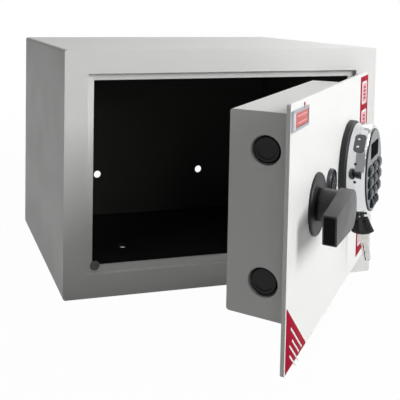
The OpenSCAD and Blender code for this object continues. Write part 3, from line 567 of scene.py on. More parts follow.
@dataclass(frozen=True)
class Place:
    """A point of the model with directions to the right, up and out, at right angles.

    Attributes:
        origin: The point, in metres.
        right: Unit vector of local x.
        up: Unit vector of local y.
        out: Unit vector of local z, which is right times up.
    """

    origin: np.ndarray
    right: np.ndarray
    up: np.ndarray
    out: np.ndarray

    @property
    def turn(self) -> np.ndarray:
        """Returns the matrix whose rows are the three directions."""
        return np.stack([self.right, self.up, self.out])

    def world(self, points: np.ndarray) -> np.ndarray:
        """Returns local points in millimetres as points of the model in metres."""
        return self.origin + points @ self.turn * MM

    def local(self, points: np.ndarray) -> np.ndarray:
        """Returns points of the model in metres as local points in millimetres."""
        return (points - self.origin) @ self.turn.T / MM

    def moved(self, x: float, y: float, z: float) -> "Place":
        """Returns the same directions at a local point given in millimetres."""
        return Place(self.world(np.array([x, y, z])), self.right, self.up, self.out)

    def tipped(self, degrees: float) -> "Place":
        """Returns this place turned about its right, so that its lower side swings outwards.

        Args:
            degrees: The angle.

        Returns:
            The turned place.
        """
        c, s = math.cos(math.radians(degrees)), math.sin(math.radians(degrees))
        up, out = self.up * c - self.out * s, self.out * c + self.up * s
        return Place(self.origin, self.right, up, out)

    def spun(self, degrees: float) -> "Place":
        """Returns this place turned counter-clockwise about its out direction.

        Args:
            degrees: The angle.

        Returns:
            The turned place.
        """
        c, s = math.cos(math.radians(degrees)), math.sin(math.radians(degrees))
        right, up = self.right * c + self.up * s, self.up * c - self.right * s
        return Place(self.origin, right, up, self.out)

    def facing_left(self) -> "Place":
        """Returns a place whose out is this one's left, with the same up."""
        return Place(self.origin, self.out, self.up, -self.right)

    def facing_back(self) -> "Place":
        """Returns a place whose out is this one's back, with the same up."""
        return Place(self.origin, -self.right, self.up, -self.out)


@dataclass(frozen=True)
class Box:
    """The local box of a node, in millimetres.

    Attributes:
        low: Its lowest corner.
        high: Its highest corner.
    """

    low: np.ndarray
    high: np.ndarray

    @property
    def middle(self) -> np.ndarray:
        """Returns the middle."""
        return (self.low + self.high) / 2

    @property
    def size(self) -> np.ndarray:
        """Returns the three sides."""
        return self.high - self.low

    @property
    def radius(self) -> float:
        """Returns half of the width, which is the radius of a round node."""
        return self.size[0] / 2


@dataclass(frozen=True)
class Model:
    """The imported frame, and the two faces that new pieces are measured from.

    Attributes:
        nodes: The frame's objects by name.
        front: Lower left corner of the body's front face.
        door: Lower free corner of the open door's outer face, level with the underside.
    """

    nodes: Mapping[str, Thing]
    front: Place
    door: Place

    @classmethod
    def read(cls, frame: Mapping[str, object]) -> "Model":
        """Finds both faces from the frame: the hinge joint's shut limit is the door's angle.


        Returns:
            The model with both faces.
        """
        nodes = frame["nodes"]
        low = np.array(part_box("body_shell")[0])
        swing = next(j for j in frame["joints"] if j["name"] == "door_swing")
        angle = math.radians(-swing["range_deg"][0])
        along = np.array([math.cos(angle), math.sin(angle), 0.0])
        up = np.array([0.0, 0.0, 1.0])
        pivot = np.array(swing["pos_m"]) * (1, 1, 0)
        loose = Place(pivot, along, up, np.cross(along, up))
        plate = loose.local(points_of(nodes["door_plate"]))
        front = Place(low, np.array([1.0, 0, 0]), up, np.array([0, -1.0, 0]))
        return cls(nodes, front, loose.moved(plate[:, 0].min(), 0.0, plate[:, 2].max()))

    def box(self, node: str, place: Place | None = None) -> Box:
        """Returns a node's box at a place, by default on the door."""
        local = (place or self.door).local(points_of(self.nodes[node]))
        return Box(local.min(0), local.max(0))

    def axis(self, node: str, height: float = 0.0) -> Place:
        """Returns the place over a node's middle, at a height above the door's outer face."""
        middle = self.box(node).middle
        return self.door.moved(middle[0], middle[1], height)

    def dress(self, finish: Finish, *names: str) -> None:
        """Gives nodes that stay as they are a finish in each of their material slots.

        Args:
            finish: The finish.
            names: Names of the nodes.
        """
        for name in names:
            node = self.nodes[name]
            if not node.material_slots:
                node.data.materials.append(None)
            for slot in node.material_slots:
                slot.material = material_of(finish)


def points_of(thing: Thing | bpy.types.Mesh) -> np.ndarray:
    """Returns the vertices of an object or mesh as rows, in its own unit.

    Args:
        thing: The object or the mesh.

    Returns:
        The points, one row each.
    """
    mesh = getattr(thing, "data", thing)
    flat = np.empty(len(mesh.vertices) * 3, np.float32)
    mesh.vertices.foreach_get("co", flat)
    return flat.reshape(-1, 3).astype(float)


def rounded(
    corners: Sequence[Sequence[float]], radius: float | Sequence[float], steps: int = 6
) -> np.ndarray:
    """Returns a closed outline with round corners.

    Each corner is replaced by an arc that touches both of its sides: the arc's middle lies on the
    line that halves the corner, at radius / sin(half the corner's angle).

    Args:
        corners: Corner points in order.
        radius: Radius of every corner, or one for each.
        steps: Points on each arc, less one.

    Returns:
        The outline's points, one row each.
    """
    point = np.array(corners, float)
    size = np.broadcast_to(np.array(radius, float), len(point))[:, None]
    back, ahead = unit(np.roll(point, 1, 0) - point), unit(np.roll(point, -1, 0) - point)
    half = np.arccos(np.clip((back * ahead).sum(1), -1, 1))[:, None] / 2
    middle = point + unit(back + ahead) * size / np.sin(half)
    start, end = (point + side * size / np.tan(half) - middle for side in (back, ahead))
    first = np.arctan2(start[:, 1], start[:, 0])
    sweep = np.arctan2(end[:, 1], end[:, 0]) - first
    sweep = (sweep + math.pi) % (2 * math.pi) - math.pi
    angle = first[:, None] + np.linspace(0, 1, steps + 1) * sweep[:, None]
    arc = np.stack([np.cos(angle), np.sin(angle)], -1) * size[:, None]
    return (middle[:, None] + arc).reshape(-1, 2)


def unit(rows: np.ndarray) -> np.ndarray:
    """Returns rows of vectors at length 1."""
    return rows / np.linalg.norm(rows, axis=1, keepdims=True)


def signed_power(wave: np.ndarray, power: float) -> np.ndarray:
    """Returns a wave whose size is raised to a power and whose sign stays, for a superellipse."""
    return np.sign(wave) * np.abs(wave) ** power


def box_outline(width: float, height: float, radius: float, steps: int = 6) -> np.ndarray:
    """Returns a rectangle about the origin with round corners."""
    w, h = width / 2, height / 2
    return rounded([(-w, -h), (w, -h), (w, h), (-w, h)], radius, steps)


def spaced(outline: np.ndarray, step: float) -> np.ndarray:
    """Returns a closed outline with extra points, so that none lie further apart than step.

    Args:
        outline: Points of the outline, counter-clockwise.
        step: Longest distance between two points.

    Returns:
        The outline with its new points.
    """
    rows = []
    for start, end in zip(outline, np.roll(outline, -1, 0)):
        count = max(1, math.ceil(np.linalg.norm(end - start) / step))
        rows.append(start + (end - start) * np.linspace(0, 1, count, endpoint=False)[:, None])
    return np.vstack(rows)


def profile(corners: Sequence[Sequence[float]], radius: float, steps: int = 5) -> np.ndarray:
    """Returns an open path whose inner corners are arcs of one radius and whose ends stay.

    Args:
        corners: Corner points in order.
        radius: Radius of the arcs.
        steps: Points on each arc, less one.

    Returns:
        The path's points, one row each.
    """
    ring = rounded([*corners, corners[0]], radius, steps)
    inner = ring.reshape(len(corners) + 1, steps + 1, 2)[1:len(corners) - 1]
    return np.vstack([corners[0], inner.reshape(-1, 2), corners[-1]])


def turned(path: np.ndarray, steps: int = 96) -> np.ndarray:
    """Turns a path of (radius, height) about the out direction.

    A point is (r cos t, r sin t, h), where t runs once round.

    Args:
        path: Rows of radius and height.
        steps: Points round the circle.

    Returns:
        Grid of local points, round by along.
    """
    t = np.linspace(0, 2 * math.pi, steps, endpoint=False)[:, None]
    r, h = path[:, 0], path[:, 1]
    return np.stack([r * np.cos(t), r * np.sin(t), h + 0 * t], -1)


def raised(outline: np.ndarray, levels: np.ndarray) -> np.ndarray:
    """Carries a closed outline through levels of (inset, height).

    A point is the outline's point moved inwards along the outline's own normal by the inset.

    Args:
        outline: Points of the outline, counter-clockwise.
        levels: Rows of inset and height.

    Returns:
        Grid of local points, round by along.
    """
    along = unit(np.roll(outline, -1, 0) - np.roll(outline, 1, 0))
    inward = np.stack([-along[:, 1], along[:, 0]], -1)
    return lifted(outline[:, None] + inward[:, None] * levels[None, :, :1], levels[:, 1])


def shrunk(outline: np.ndarray, shares: np.ndarray, heights: np.ndarray) -> np.ndarray:
    """Carries a closed outline through shares of its size about the origin.

    Args:
        outline: Points of the outline.
        shares: Size of the outline at each level, as a share.
        heights: Height of each level.

    Returns:
        Grid of local points, round by along.
    """
    return lifted(outline[:, None] * shares[None, :, None], heights)


def lifted(flat: np.ndarray, heights: np.ndarray) -> np.ndarray:
    """Returns a grid of flat points with each column at its own height."""
    return np.concatenate([flat, np.broadcast_to(heights, flat.shape[:2])[..., None]], -1)


def soft_levels(
    low: float, high: float, edge: float, steps: int = 4, foot: bool = True
) -> np.ndarray:
    """Returns levels of a flat body whose upper and lower rims are quarter circles.

    Args:
        low: Height of the underside.
        high: Height of the top.
        edge: Radius of both rims.
        steps: Points on each quarter, less one.
        foot: False for a sharp lower rim.

    Returns:
        Rows of inset and height, for raised().
    """
    t = np.linspace(0, math.pi / 2, steps + 1)
    inset, rise = edge * (1 - np.cos(t)), edge * np.sin(t)
    top = np.stack([inset, high - edge + rise], -1)
    below = np.stack([inset[::-1], low + edge - rise[::-1]], -1) if foot else [[0.0, low]]
    return np.vstack([below, top])


def surface(
    name: str,
    grid: np.ndarray,
    place: Place,
    finish: Finish,
    rider: Rider,
    shading: Shading = Shading.CREASED,
) -> Thing:
    """Makes a closed piece from a grid of local points whose rows run round.

    Neighbouring points of the grid are joined by quads, the first and the last column get a flat
    cap, points that coincide are merged, and all faces are turned outwards.

    Args:
        name: Name of the piece.
        grid: Local points in millimetres, rows by columns by 3.
        place: Where the local frame lies.
        finish: Its finish.
        rider: The body it moves with.
        shading: Which edges show as creases.

    Returns:
        The piece, riding on its body.
    """
    index = np.arange(grid.shape[0] * grid.shape[1]).reshape(grid.shape[:2])
    after = np.roll(index, -1, 0)
    quads = np.stack([index[:, :-1], after[:, :-1], after[:, 1:], index[:, 1:]], -1)
    faces = [*quads.reshape(-1, 4).tolist(), index[:, 0].tolist(), index[:, -1].tolist()]
    mesh = bpy.data.meshes.new(name)
    mesh.from_pydata(place.world(grid.reshape(-1, 3)).tolist(), [], faces)
    tidy(mesh, shading)
    return piece(name, mesh, finish, rider)


@contextmanager
def merged(mesh: bpy.types.Mesh) -> Iterator[bmesh.types.BMesh]:
    """Opens a mesh for edits, with coinciding points merged and all faces turned outwards.

    Args:
        mesh: The mesh.

    Yields:
        The opened mesh.
    """
    work = bmesh.new()
    work.from_mesh(mesh)
    bmesh.ops.remove_doubles(work, verts=work.verts, dist=MERGE_MM * MM)
    bmesh.ops.recalc_face_normals(work, faces=work.faces)
    yield work
    work.to_mesh(mesh)
    work.free()
    mesh.shade_smooth()


def tidy(mesh: bpy.types.Mesh, shading: Shading) -> None:
    """Merges points that coincide, turns all faces outwards and sets smooth shading.

    Args:
        mesh: The mesh.
        shading: Which edges show as creases.
    """
    with merged(mesh):
        pass
    mesh.set_sharp_from_angle(angle=math.radians(shading.value))


def piece(name: str, mesh: bpy.types.Mesh, finish: Finish, rider: Rider) -> Thing:
    """Puts a finished mesh into the scene as a piece of the safe.

    Args:
        name: Name of the piece.
        mesh: Its mesh, in place.
        finish: Its finish.
        rider: The body it moves with.

    Returns:
        The piece.
    """
    mesh.materials.clear()
    mesh.materials.append(material_of(finish))
    made = bpy.data.objects.new(name, mesh)
    bpy.context.scene.collection.objects.link(made)
    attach(made, rider.value)
    return made


def softened(
    model: Model,
    node: str,
    finish: Finish,
    rider: Rider,
    edge_mm: float,
    weigh: Callable[[np.ndarray], np.ndarray] | None = None,
) -> Thing:
    """Stands a copy with rounded edges in for a node of the frame.

    The copy's doubles are merged. A Bevel then rounds each edge whose faces meet at more than
    BEVEL_ABOVE degrees.

    Args:
        model: The model.
        node: The node that the copy stands for.
        finish: Its finish.
        rider: The body it moves with.
        edge_mm: Radius of the widest rounding.
        weigh: Share of edge_mm for each edge, from the edges' middles in metres.

    Returns:
        The copy.
    """
    source = model.nodes[node].data
    mesh = bpy.data.meshes.new(f"{node}_dressed")
    corners = [list(face.vertices) for face in source.polygons]
    mesh.from_pydata([tuple(v.co) for v in source.vertices], [], corners)
    with merged(mesh) as work:
        weights = work.edges.layers.float.new("bevel_weight_edge")
        limit = math.radians(BEVEL_ABOVE)
        sharp = [e for e in work.edges if e.calc_face_angle(0.0) > limit]
        middles = np.array([(e.verts[0].co + e.verts[1].co) / 2 for e in sharp]).reshape(-1, 3)
        shares = weigh(middles) if weigh else np.ones(len(sharp))
        for edge, share in zip(sharp, shares.tolist()):
            edge[weights] = share
    made = piece(f"{node}_dressed", mesh, finish, rider)
    bevel = made.modifiers.new("rounded edges", "BEVEL")
    bevel.limit_method = "WEIGHT"
    bevel.width = edge_mm * MM
    bevel.segments = BEVEL_STEPS
    bevel.use_clamp_overlap = True
    bevel.harden_normals = True
    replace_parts(made, node)
    return made


@dataclass
class SafeBody:
    """Folded sheet body with its opening, bumper and mat.

    Attributes:
        fold_mm: Outer radius of the folds round the front.
        rim_near: Share of fold_mm within which an edge belongs to the front's outer rim.
        sheet_edge_mm: Radius of a cut edge under its coat.
        frame_edge_mm: Radius of the folds of the recess and the step.
        skin_mm: How far inside the outer faces the lining starts.
        bumper_edge_mm: Radius of the bumper's rim.
    """

    fold_mm: float = 2.4
    rim_near: float = 0.6
    sheet_edge_mm: float = 0.6
    frame_edge_mm: float = 0.9
    skin_mm: float = 1.0
    bumper_edge_mm: float = 0.8

    def lined_coat(self) -> LinedCoat:
        """Returns the coat whose lined box is the body's box, drawn in behind the step.

        Returns:
            The coat.
        """
        low, high = (np.array(c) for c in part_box("body_shell"))
        skin = self.skin_mm * MM
        low = np.array([low[0] + skin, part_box("door_frame")[1].y - skin, low[2] + skin])
        high = high - skin
        return replace(
            BODY_COAT, centre=tuple((low + high) / 2), half=tuple((high - low) / 2)
        )

    def front_share(self, middles: np.ndarray) -> np.ndarray:
        """Returns 1 for edges round the front's outer rim and a small share for cut edges.

        Args:
            middles: Middles of the edges, in metres.

        Returns:
            The share for each edge.
        """
        low, high = (np.array(c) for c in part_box("body_shell"))
        near = self.rim_near * self.fold_mm * MM
        rim = np.minimum(middles - low, high - middles)[:, [0, 2]].min(1) < near
        front = middles[:, 1] - low[1] < MERGE_MM * MM
        return np.where(rim & front, 1.0, self.sheet_edge_mm / self.fold_mm)

    def build(self, model: Model) -> list[Thing]:
        """Builds the shell, the recess and the bumper, and dresses the back wall and the mat.

        Args:
            model: The model.

        Returns:
            The pieces.
        """
        coat, slot = self.lined_coat(), "white_powder_coat"
        shell = softened(
            model, "body_shell", coat, Rider.BODY, self.fold_mm, self.front_share
        )
        recess = softened(model, "door_frame", coat, Rider.BODY, self.frame_edge_mm)
        model.dress(coat, "back_panel")
        model.dress(MAT_RUBBER, "floor_mat")
        return [shell, recess, self.bumper(model)]

    def bumper(self, model: Model) -> Thing:
        """Turns the bumper: a low dome with a round rim and a shallow dimple.

        Args:
            model: The model.

        Returns:
            The piece.
        """
        box, edge = model.box("frame_bumper", model.front), self.bumper_edge_mm
        radius, top = box.radius, box.size[2]
        path = [
            (0.0, top - 0.4), (radius * 0.3, top - 0.35), (radius * 0.45, top),
            (radius - edge, top - 0.1), (radius, top - 2 * edge), (radius, 0.0),
        ]
        made = surface(
            "bumper_dome", turned(profile(path, 0.3), 64),
            model.front.moved(box.middle[0], box.middle[1], box.low[2]),
            BUMPER_RUBBER, Rider.BODY, Shading.SOFT,
        )
        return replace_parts(made, "frame_bumper")


@dataclass
class Hinges:
    """Hinge brackets, pins, clips, bushes and swan-neck arms.

    Attributes:
        bracket_edge_mm: Radius of the pressed bracket's edges.
        arm_edge_mm: Radius of the arms' edges.
    """

    bracket_edge_mm: float = 0.5
    arm_edge_mm: float = 0.6

    def build(self, model: Model) -> list[Thing]:
        """Softens the brackets and the arms, and dresses the turned parts.

        Args:
            model: The model.

        Returns:
            The pieces.
        """
        model.dress(ZINC_STEEL, "hinge_pins")
        model.dress(BLACK_STEEL_AND_GROOVE_SHADE, "hinge_clips")
        model.dress(BRASS, "hinge_bushes")
        return [
            softened(model, name, ZINC_STEEL, rider, edge)
            for name, rider, edge in (
                ("hinge_brackets", Rider.BODY, self.bracket_edge_mm),
                ("hinge_arm_upper", Rider.DOOR, self.arm_edge_mm),
                ("hinge_arm_lower", Rider.DOOR, self.arm_edge_mm),
            )
        ]


@dataclass
class DoorLeaf:
    """Door plate and the lock housing behind it, with posts, screws and guides.

    Attributes:
        plate_edge_mm: Radius of the plate's edges.
        box_edge_mm: Radius of the folds round the housing's two ends.
        hole_edge_mm: Radius of the cut edges.
        hole_clear_mm: How far round a bolt's axis an edge counts as a cut edge.
        hole_r: Radius of a bolt hole.
        collar_mm: Depth of the collar drawn inwards round a bolt hole.
        bolts: Nodes of the bolts that pass through the holes.
    """

    plate_edge_mm: float = 0.9
    box_edge_mm: float = 1.3
    hole_edge_mm: float = 0.3
    hole_clear_mm: float = 14.0
    hole_r: float = 11.5
    collar_mm: float = 6.0
    bolts: tuple[str, ...] = ("bolt_upper", "bolt_lower")

    def collar(self, model: Model, node: str) -> Thing:
        """Turns the drawn collar of one bolt hole: a short tube that runs inwards from the hole.

        Args:
            model: The model.
            node: Name of the node that the piece is measured from.

        Returns:
            The piece.
        """
        middle, deep = model.box(node).middle, -self.collar_mm
        inner, outer = self.hole_r + 0.05, self.hole_r + 0.9
        path = [
            (inner, deep), (inner, -0.4), (self.hole_r + 0.5, -0.05), (outer, -0.3),
            (outer, deep), (inner, deep),
        ]
        at = model.door.moved(model.box("door_box").low[0], middle[1], middle[2])
        return surface(
            f"{node}_collar", turned(profile(path, 0.15, 3)), at.facing_left(),
            DOOR_COAT, Rider.DOOR,
        )

    def build(self, model: Model) -> list[Thing]:
        """Softens the plate and the housing, and dresses what holds them together.

        Args:
            model: The model.

        Returns:
            The pieces.
        """
        slot, box = "white_powder_coat", model.box("door_box")
        axes = [model.box(name).middle[1:] for name in self.bolts]

        def fold_share(middles: np.ndarray) -> np.ndarray:
            """Returns 1 for edges round the ends and a small share for cut edges.

            Args:
                middles: Middles of the edges, in metres.

            Returns:
                The share for each edge.
            """
            at = model.door.local(middles)
            end = np.minimum(at[:, 0] - box.low[0], box.high[0] - at[:, 0]) < MERGE_MM
            free = [np.linalg.norm(at[:, 1:] - a, axis=1) > self.hole_clear_mm for a in axes]
            fold = end & np.all(free, axis=0)
            return np.where(fold, 1.0, self.hole_edge_mm / self.box_edge_mm)

        plate = softened(model, "door_plate", DOOR_COAT, Rider.DOOR, self.plate_edge_mm)
        housing = softened(
            model, "door_box", DOOR_COAT, Rider.DOOR, self.box_edge_mm, fold_share
        )
        model.dress(ZINC_STEEL, "box_posts", "bolt_guides")
        model.dress(BLACK_STEEL_AND_GROOVE_SHADE, "box_screws")
        return [plate, housing, *(self.collar(model, node) for node in self.bolts)]


@dataclass
class BoltWork:
    """The two locking bolts and the carriage that moves them.

    Attributes:
        chamfer_mm: Width of the chamfer at a bolt's end.
        ring_mm: Radius of the turned ring on a bolt's end.
        ring_depth_mm: Depth of that ring.
    """

    chamfer_mm: float = 1.2
    ring_mm: float = 7.4
    ring_depth_mm: float = 0.5

    def bolt(self, model: Model, node: str) -> Thing:
        """Turns one bolt: a flat end with a sunk ring, a chamfer and a straight shank.

        Args:
            model: The model.
            node: Name of the node that the piece is measured from.

        Returns:
            The piece.
        """
        box, sunk = model.box(node), -self.ring_depth_mm
        radius, back = box.size[1] / 2, -box.size[0]
        path = [
            (0.0, sunk), (self.ring_mm - 0.8, sunk), (self.ring_mm, 0.0),
            (radius - self.chamfer_mm, 0.0), (radius, -self.chamfer_mm), (radius, back),
            (0.0, back),
        ]
        at = model.door.moved(box.low[0], box.middle[1], box.middle[2])
        made = surface(
            f"{node}_turned", turned(profile(path, 0.35)), at.facing_left(),
            BOLT_BLACK, Rider.BOLTS,
        )
        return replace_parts(made, node)

    def build(self, model: Model) -> list[Thing]:
        """Turns both bolts and dresses the carriage and its screws.

        Args:
            model: The model.

        Returns:
            The pieces.
        """
        model.dress(ZINC_STEEL, "bolt_carriage")
        model.dress(BLACK_STEEL_AND_GROOVE_SHADE, "bolt_screws")
        return [self.bolt(model, name) for name in ("bolt_upper", "bolt_lower")]


@dataclass
class Handle:
    """Wing handle on its round plate, with the spindle and cam behind it.

    Attributes:
        lever_t: Thickness of the lever.
        lever_len: From the spindle to the tip.
        tip_h: Height of the tip.
        hub_r: Radius of the lever's round end.
        droop: How far the tip hangs down, in degrees.
        neck_r: Radius of the neck where it meets the lever.
        neck_bore: Radius of the spindle's hole in the neck.
        edge: Radius of the lever's edges.
        tip_r: Radius of the tip's two corners.
        plug_rim: Width of the lever's rim round the black insert of painted shade in its tip.
        plug_proud: How far the insert stands out of the tip.
        plug_depth: From the insert's face to its back.
        plug_corner: Radius of the insert's corners.
        plate_edge: Radius of the round plate's rim.
        plate_bore: Radius of the hole in the round plate.
    """

    lever_t: float = 10.5
    lever_len: float = 57.0
    tip_h: float = 22.5
    hub_r: float = 16.0
    droop: float = 2.5
    neck_r: float = 14.0
    neck_bore: float = 5.2
    edge: float = 0.8
    tip_r: float = 1.2
    plug_rim: float = 1.2
    plug_proud: float = 0.15
    plug_depth: float = 1.0
    plug_corner: float = 1.2
    plate_edge: float = 1.0
    plate_bore: float = 6.5

    def lever_outline(self) -> np.ndarray:
        """Returns the lever's outline: a circle about the spindle, tangents and a square tip.

        A tangent from the tip's corner touches the circle at the corner's own angle less
        arccos(radius / distance).

        Returns:
            Points of the outline.
        """
        half, end = self.tip_h / 2, self.lever_len - self.plug_proud
        reach = math.hypot(end, half)
        touch = math.atan2(half, -end) - math.acos(self.hub_r / reach)
        angle = np.linspace(-touch, touch, 40)
        hub = self.hub_r * np.stack([np.cos(angle), np.sin(angle)], -1)
        tip = [(-end, half), (-end, -half)]
        ring = rounded([hub[-1], *tip, hub[0]], [0.01, self.tip_r, self.tip_r, 0.01], 4)
        return np.vstack([hub, ring.reshape(4, 5, 2)[1:3].reshape(-1, 2)])

    def lever(self, model: Model) -> Thing:
        """Raises the lever's outline, with its rims rounded.

        Args:
            model: The model.

        Returns:
            The piece.
        """
        out = model.box("handle_knob").high[2]
        made = surface(
            "handle_lever",
            raised(self.lever_outline(), soft_levels(out - self.lever_t, out, self.edge)),
            model.axis("handle_spindle").spun(self.droop),
            HANDLE_ABS, Rider.HANDLE,
        )
        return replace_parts(made, "handle_knob")

    def plug(self, model: Model) -> Thing:
        """Sets a black insert into the lever's square tip, as painted shade on its end face.

        Args:
            model: The model.

        Returns:
            The piece.
        """
        middle = model.box("handle_knob").high[2] - self.lever_t / 2
        width, height = self.lever_t - 2 * self.plug_rim, self.tip_h - 2 * self.plug_rim
        back = self.lever_len - self.plug_depth
        levels = soft_levels(back, self.lever_len, self.plug_proud, 3, False)
        # Painted shade: a black insert over the tip's end face, which the lamps leave in shade.
        return surface(
            "handle_tip_shade", raised(box_outline(width, height, self.plug_corner), levels),
            model.axis("handle_spindle", middle).spun(self.droop).facing_left(),
            CAP_ABS_AND_TIP_SHADE, Rider.HANDLE,
        )

    def neck(self, model: Model) -> Thing:
        """Turns the neck: a step at the round plate, a straight barrel and a fillet.

        Args:
            model: The model.

        Returns:
            The piece.
        """
        box, neck = model.box("handle_knob"), self.neck_r
        foot, top = box.low[2], box.high[2] - self.lever_t
        path = [
            (self.neck_bore, foot), (neck - 0.6, foot), (neck - 0.6, foot + 1.2),
            (neck, foot + 1.8), (neck - 0.4, top - 2.0), (neck + 0.9, top + 0.4),
            (self.neck_bore, top + 0.6),
        ]
        made = surface(
            "handle_neck", turned(profile(path, 0.35)), model.axis("handle_spindle"),
            HANDLE_ABS, Rider.HANDLE,
        )
        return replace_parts(made, "handle_knob")

    def plate(self, model: Model) -> Thing:
        """Turns the round plate: a rolled rim, a fine groove and a slightly sunk middle.

        Args:
            model: The model.

        Returns:
            The piece.
        """
        box, bore, edge = model.box("handle_rosette"), self.plate_bore, self.plate_edge
        radius, top = box.radius, box.size[2]
        path = [
            (bore, 0.0), (radius, 0.0), (radius, top - edge), (radius - edge, top),
            (radius - 2.6, top), (radius - 3.0, top - 0.35), (radius - 3.6, top - 0.35),
            (radius - 4.0, top - 0.1), (bore, top - 0.4), (bore, 0.0),
        ]
        made = surface(
            "handle_plate", turned(profile(path, 0.15, 3), 128),
            model.axis("handle_rosette", box.low[2]), BASE_ABS, Rider.DOOR,
        )
        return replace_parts(made, "handle_rosette")

    def build(self, model: Model) -> list[Thing]:
        """Builds the lever with its painted tip shade, the neck and the plate; dresses the drive.

        Args:
            model: The model.

        Returns:
            The pieces.
        """
        model.dress(ZINC_STEEL, "handle_spindle", "cam_arm")
        model.dress(BLACK_STEEL_AND_GROOVE_SHADE, "spindle_clip")
        model.dress(BRASS, "spindle_bush")
        return [self.lever(model), self.plug(model), self.neck(model), self.plate(model)]


@dataclass
class OverrideLock:
    """Round key lock between the handle and the keypad.

    Attributes:
        rim_w: Width of the black chrome rim.
        dish: How deep the black face is sunk at the rim.
        plug_r: Radius of the turning plug, with its play.
        barrel_r: Radius of the body behind the door.
    """

    rim_w: float = 0.8
    dish: float = 1.5
    plug_r: float = 7.1
    barrel_r: float = 9.5

    def rim(self, model: Model) -> Thing:
        """Turns the barrel: a rounded black rim, a sunk seat, and the body behind the door.

        Args:
            model: The model.

        Returns:
            The piece.
        """
        box, barrel, plug = model.box("override_barrel"), self.barrel_r, self.plug_r
        radius, top, back = box.radius, box.high[2], box.low[2]
        inner, seat = radius - self.rim_w, top - self.dish - 0.4
        path = [
            (plug, back), (barrel, back), (barrel, 0.0), (radius, 0.0), (radius, top - 0.9),
            (radius - 0.5, top), (inner, top), (inner, seat), (plug, seat), (plug, back),
        ]
        made = surface(
            "override_rim", turned(profile(path, 0.12, 3)), model.axis("override_barrel"),
            BLACK_CHROME, Rider.DOOR,
        )
        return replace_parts(made, "override_barrel")

    def face(self, model: Model) -> Thing:
        """Turns the black face ring inside the rim, sunk at the rim and rising to the plug.

        Args:
            model: The model.

        Returns:
            The piece.
        """
        box, inner = model.box("override_barrel"), self.plug_r + 0.1
        outer, top = box.radius - self.rim_w - 0.05, box.high[2]
        foot = top - self.dish - 0.5
        path = [
            (inner, foot), (outer, foot), (outer, top - self.dish),
            (self.plug_r + 1.2, top - 0.1), (inner, top - 0.3), (inner, foot),
        ]
        return surface(
            "override_face", turned(profile(path, 0.08, 3)), model.axis("override_barrel"),
            CAP_ABS_AND_TIP_SHADE, Rider.DOOR,
        )

    def build(self, model: Model) -> list[Thing]:
        """Builds the rim and the face, and dresses the plug and its tail.

        Args:
            model: The model.

        Returns:
            The pieces.
        """
        model.dress(CAP_ABS_AND_TIP_SHADE, "override_plug")
        model.dress(ZINC_STEEL, "override_tail")
        return [self.rim(model), self.face(model)]


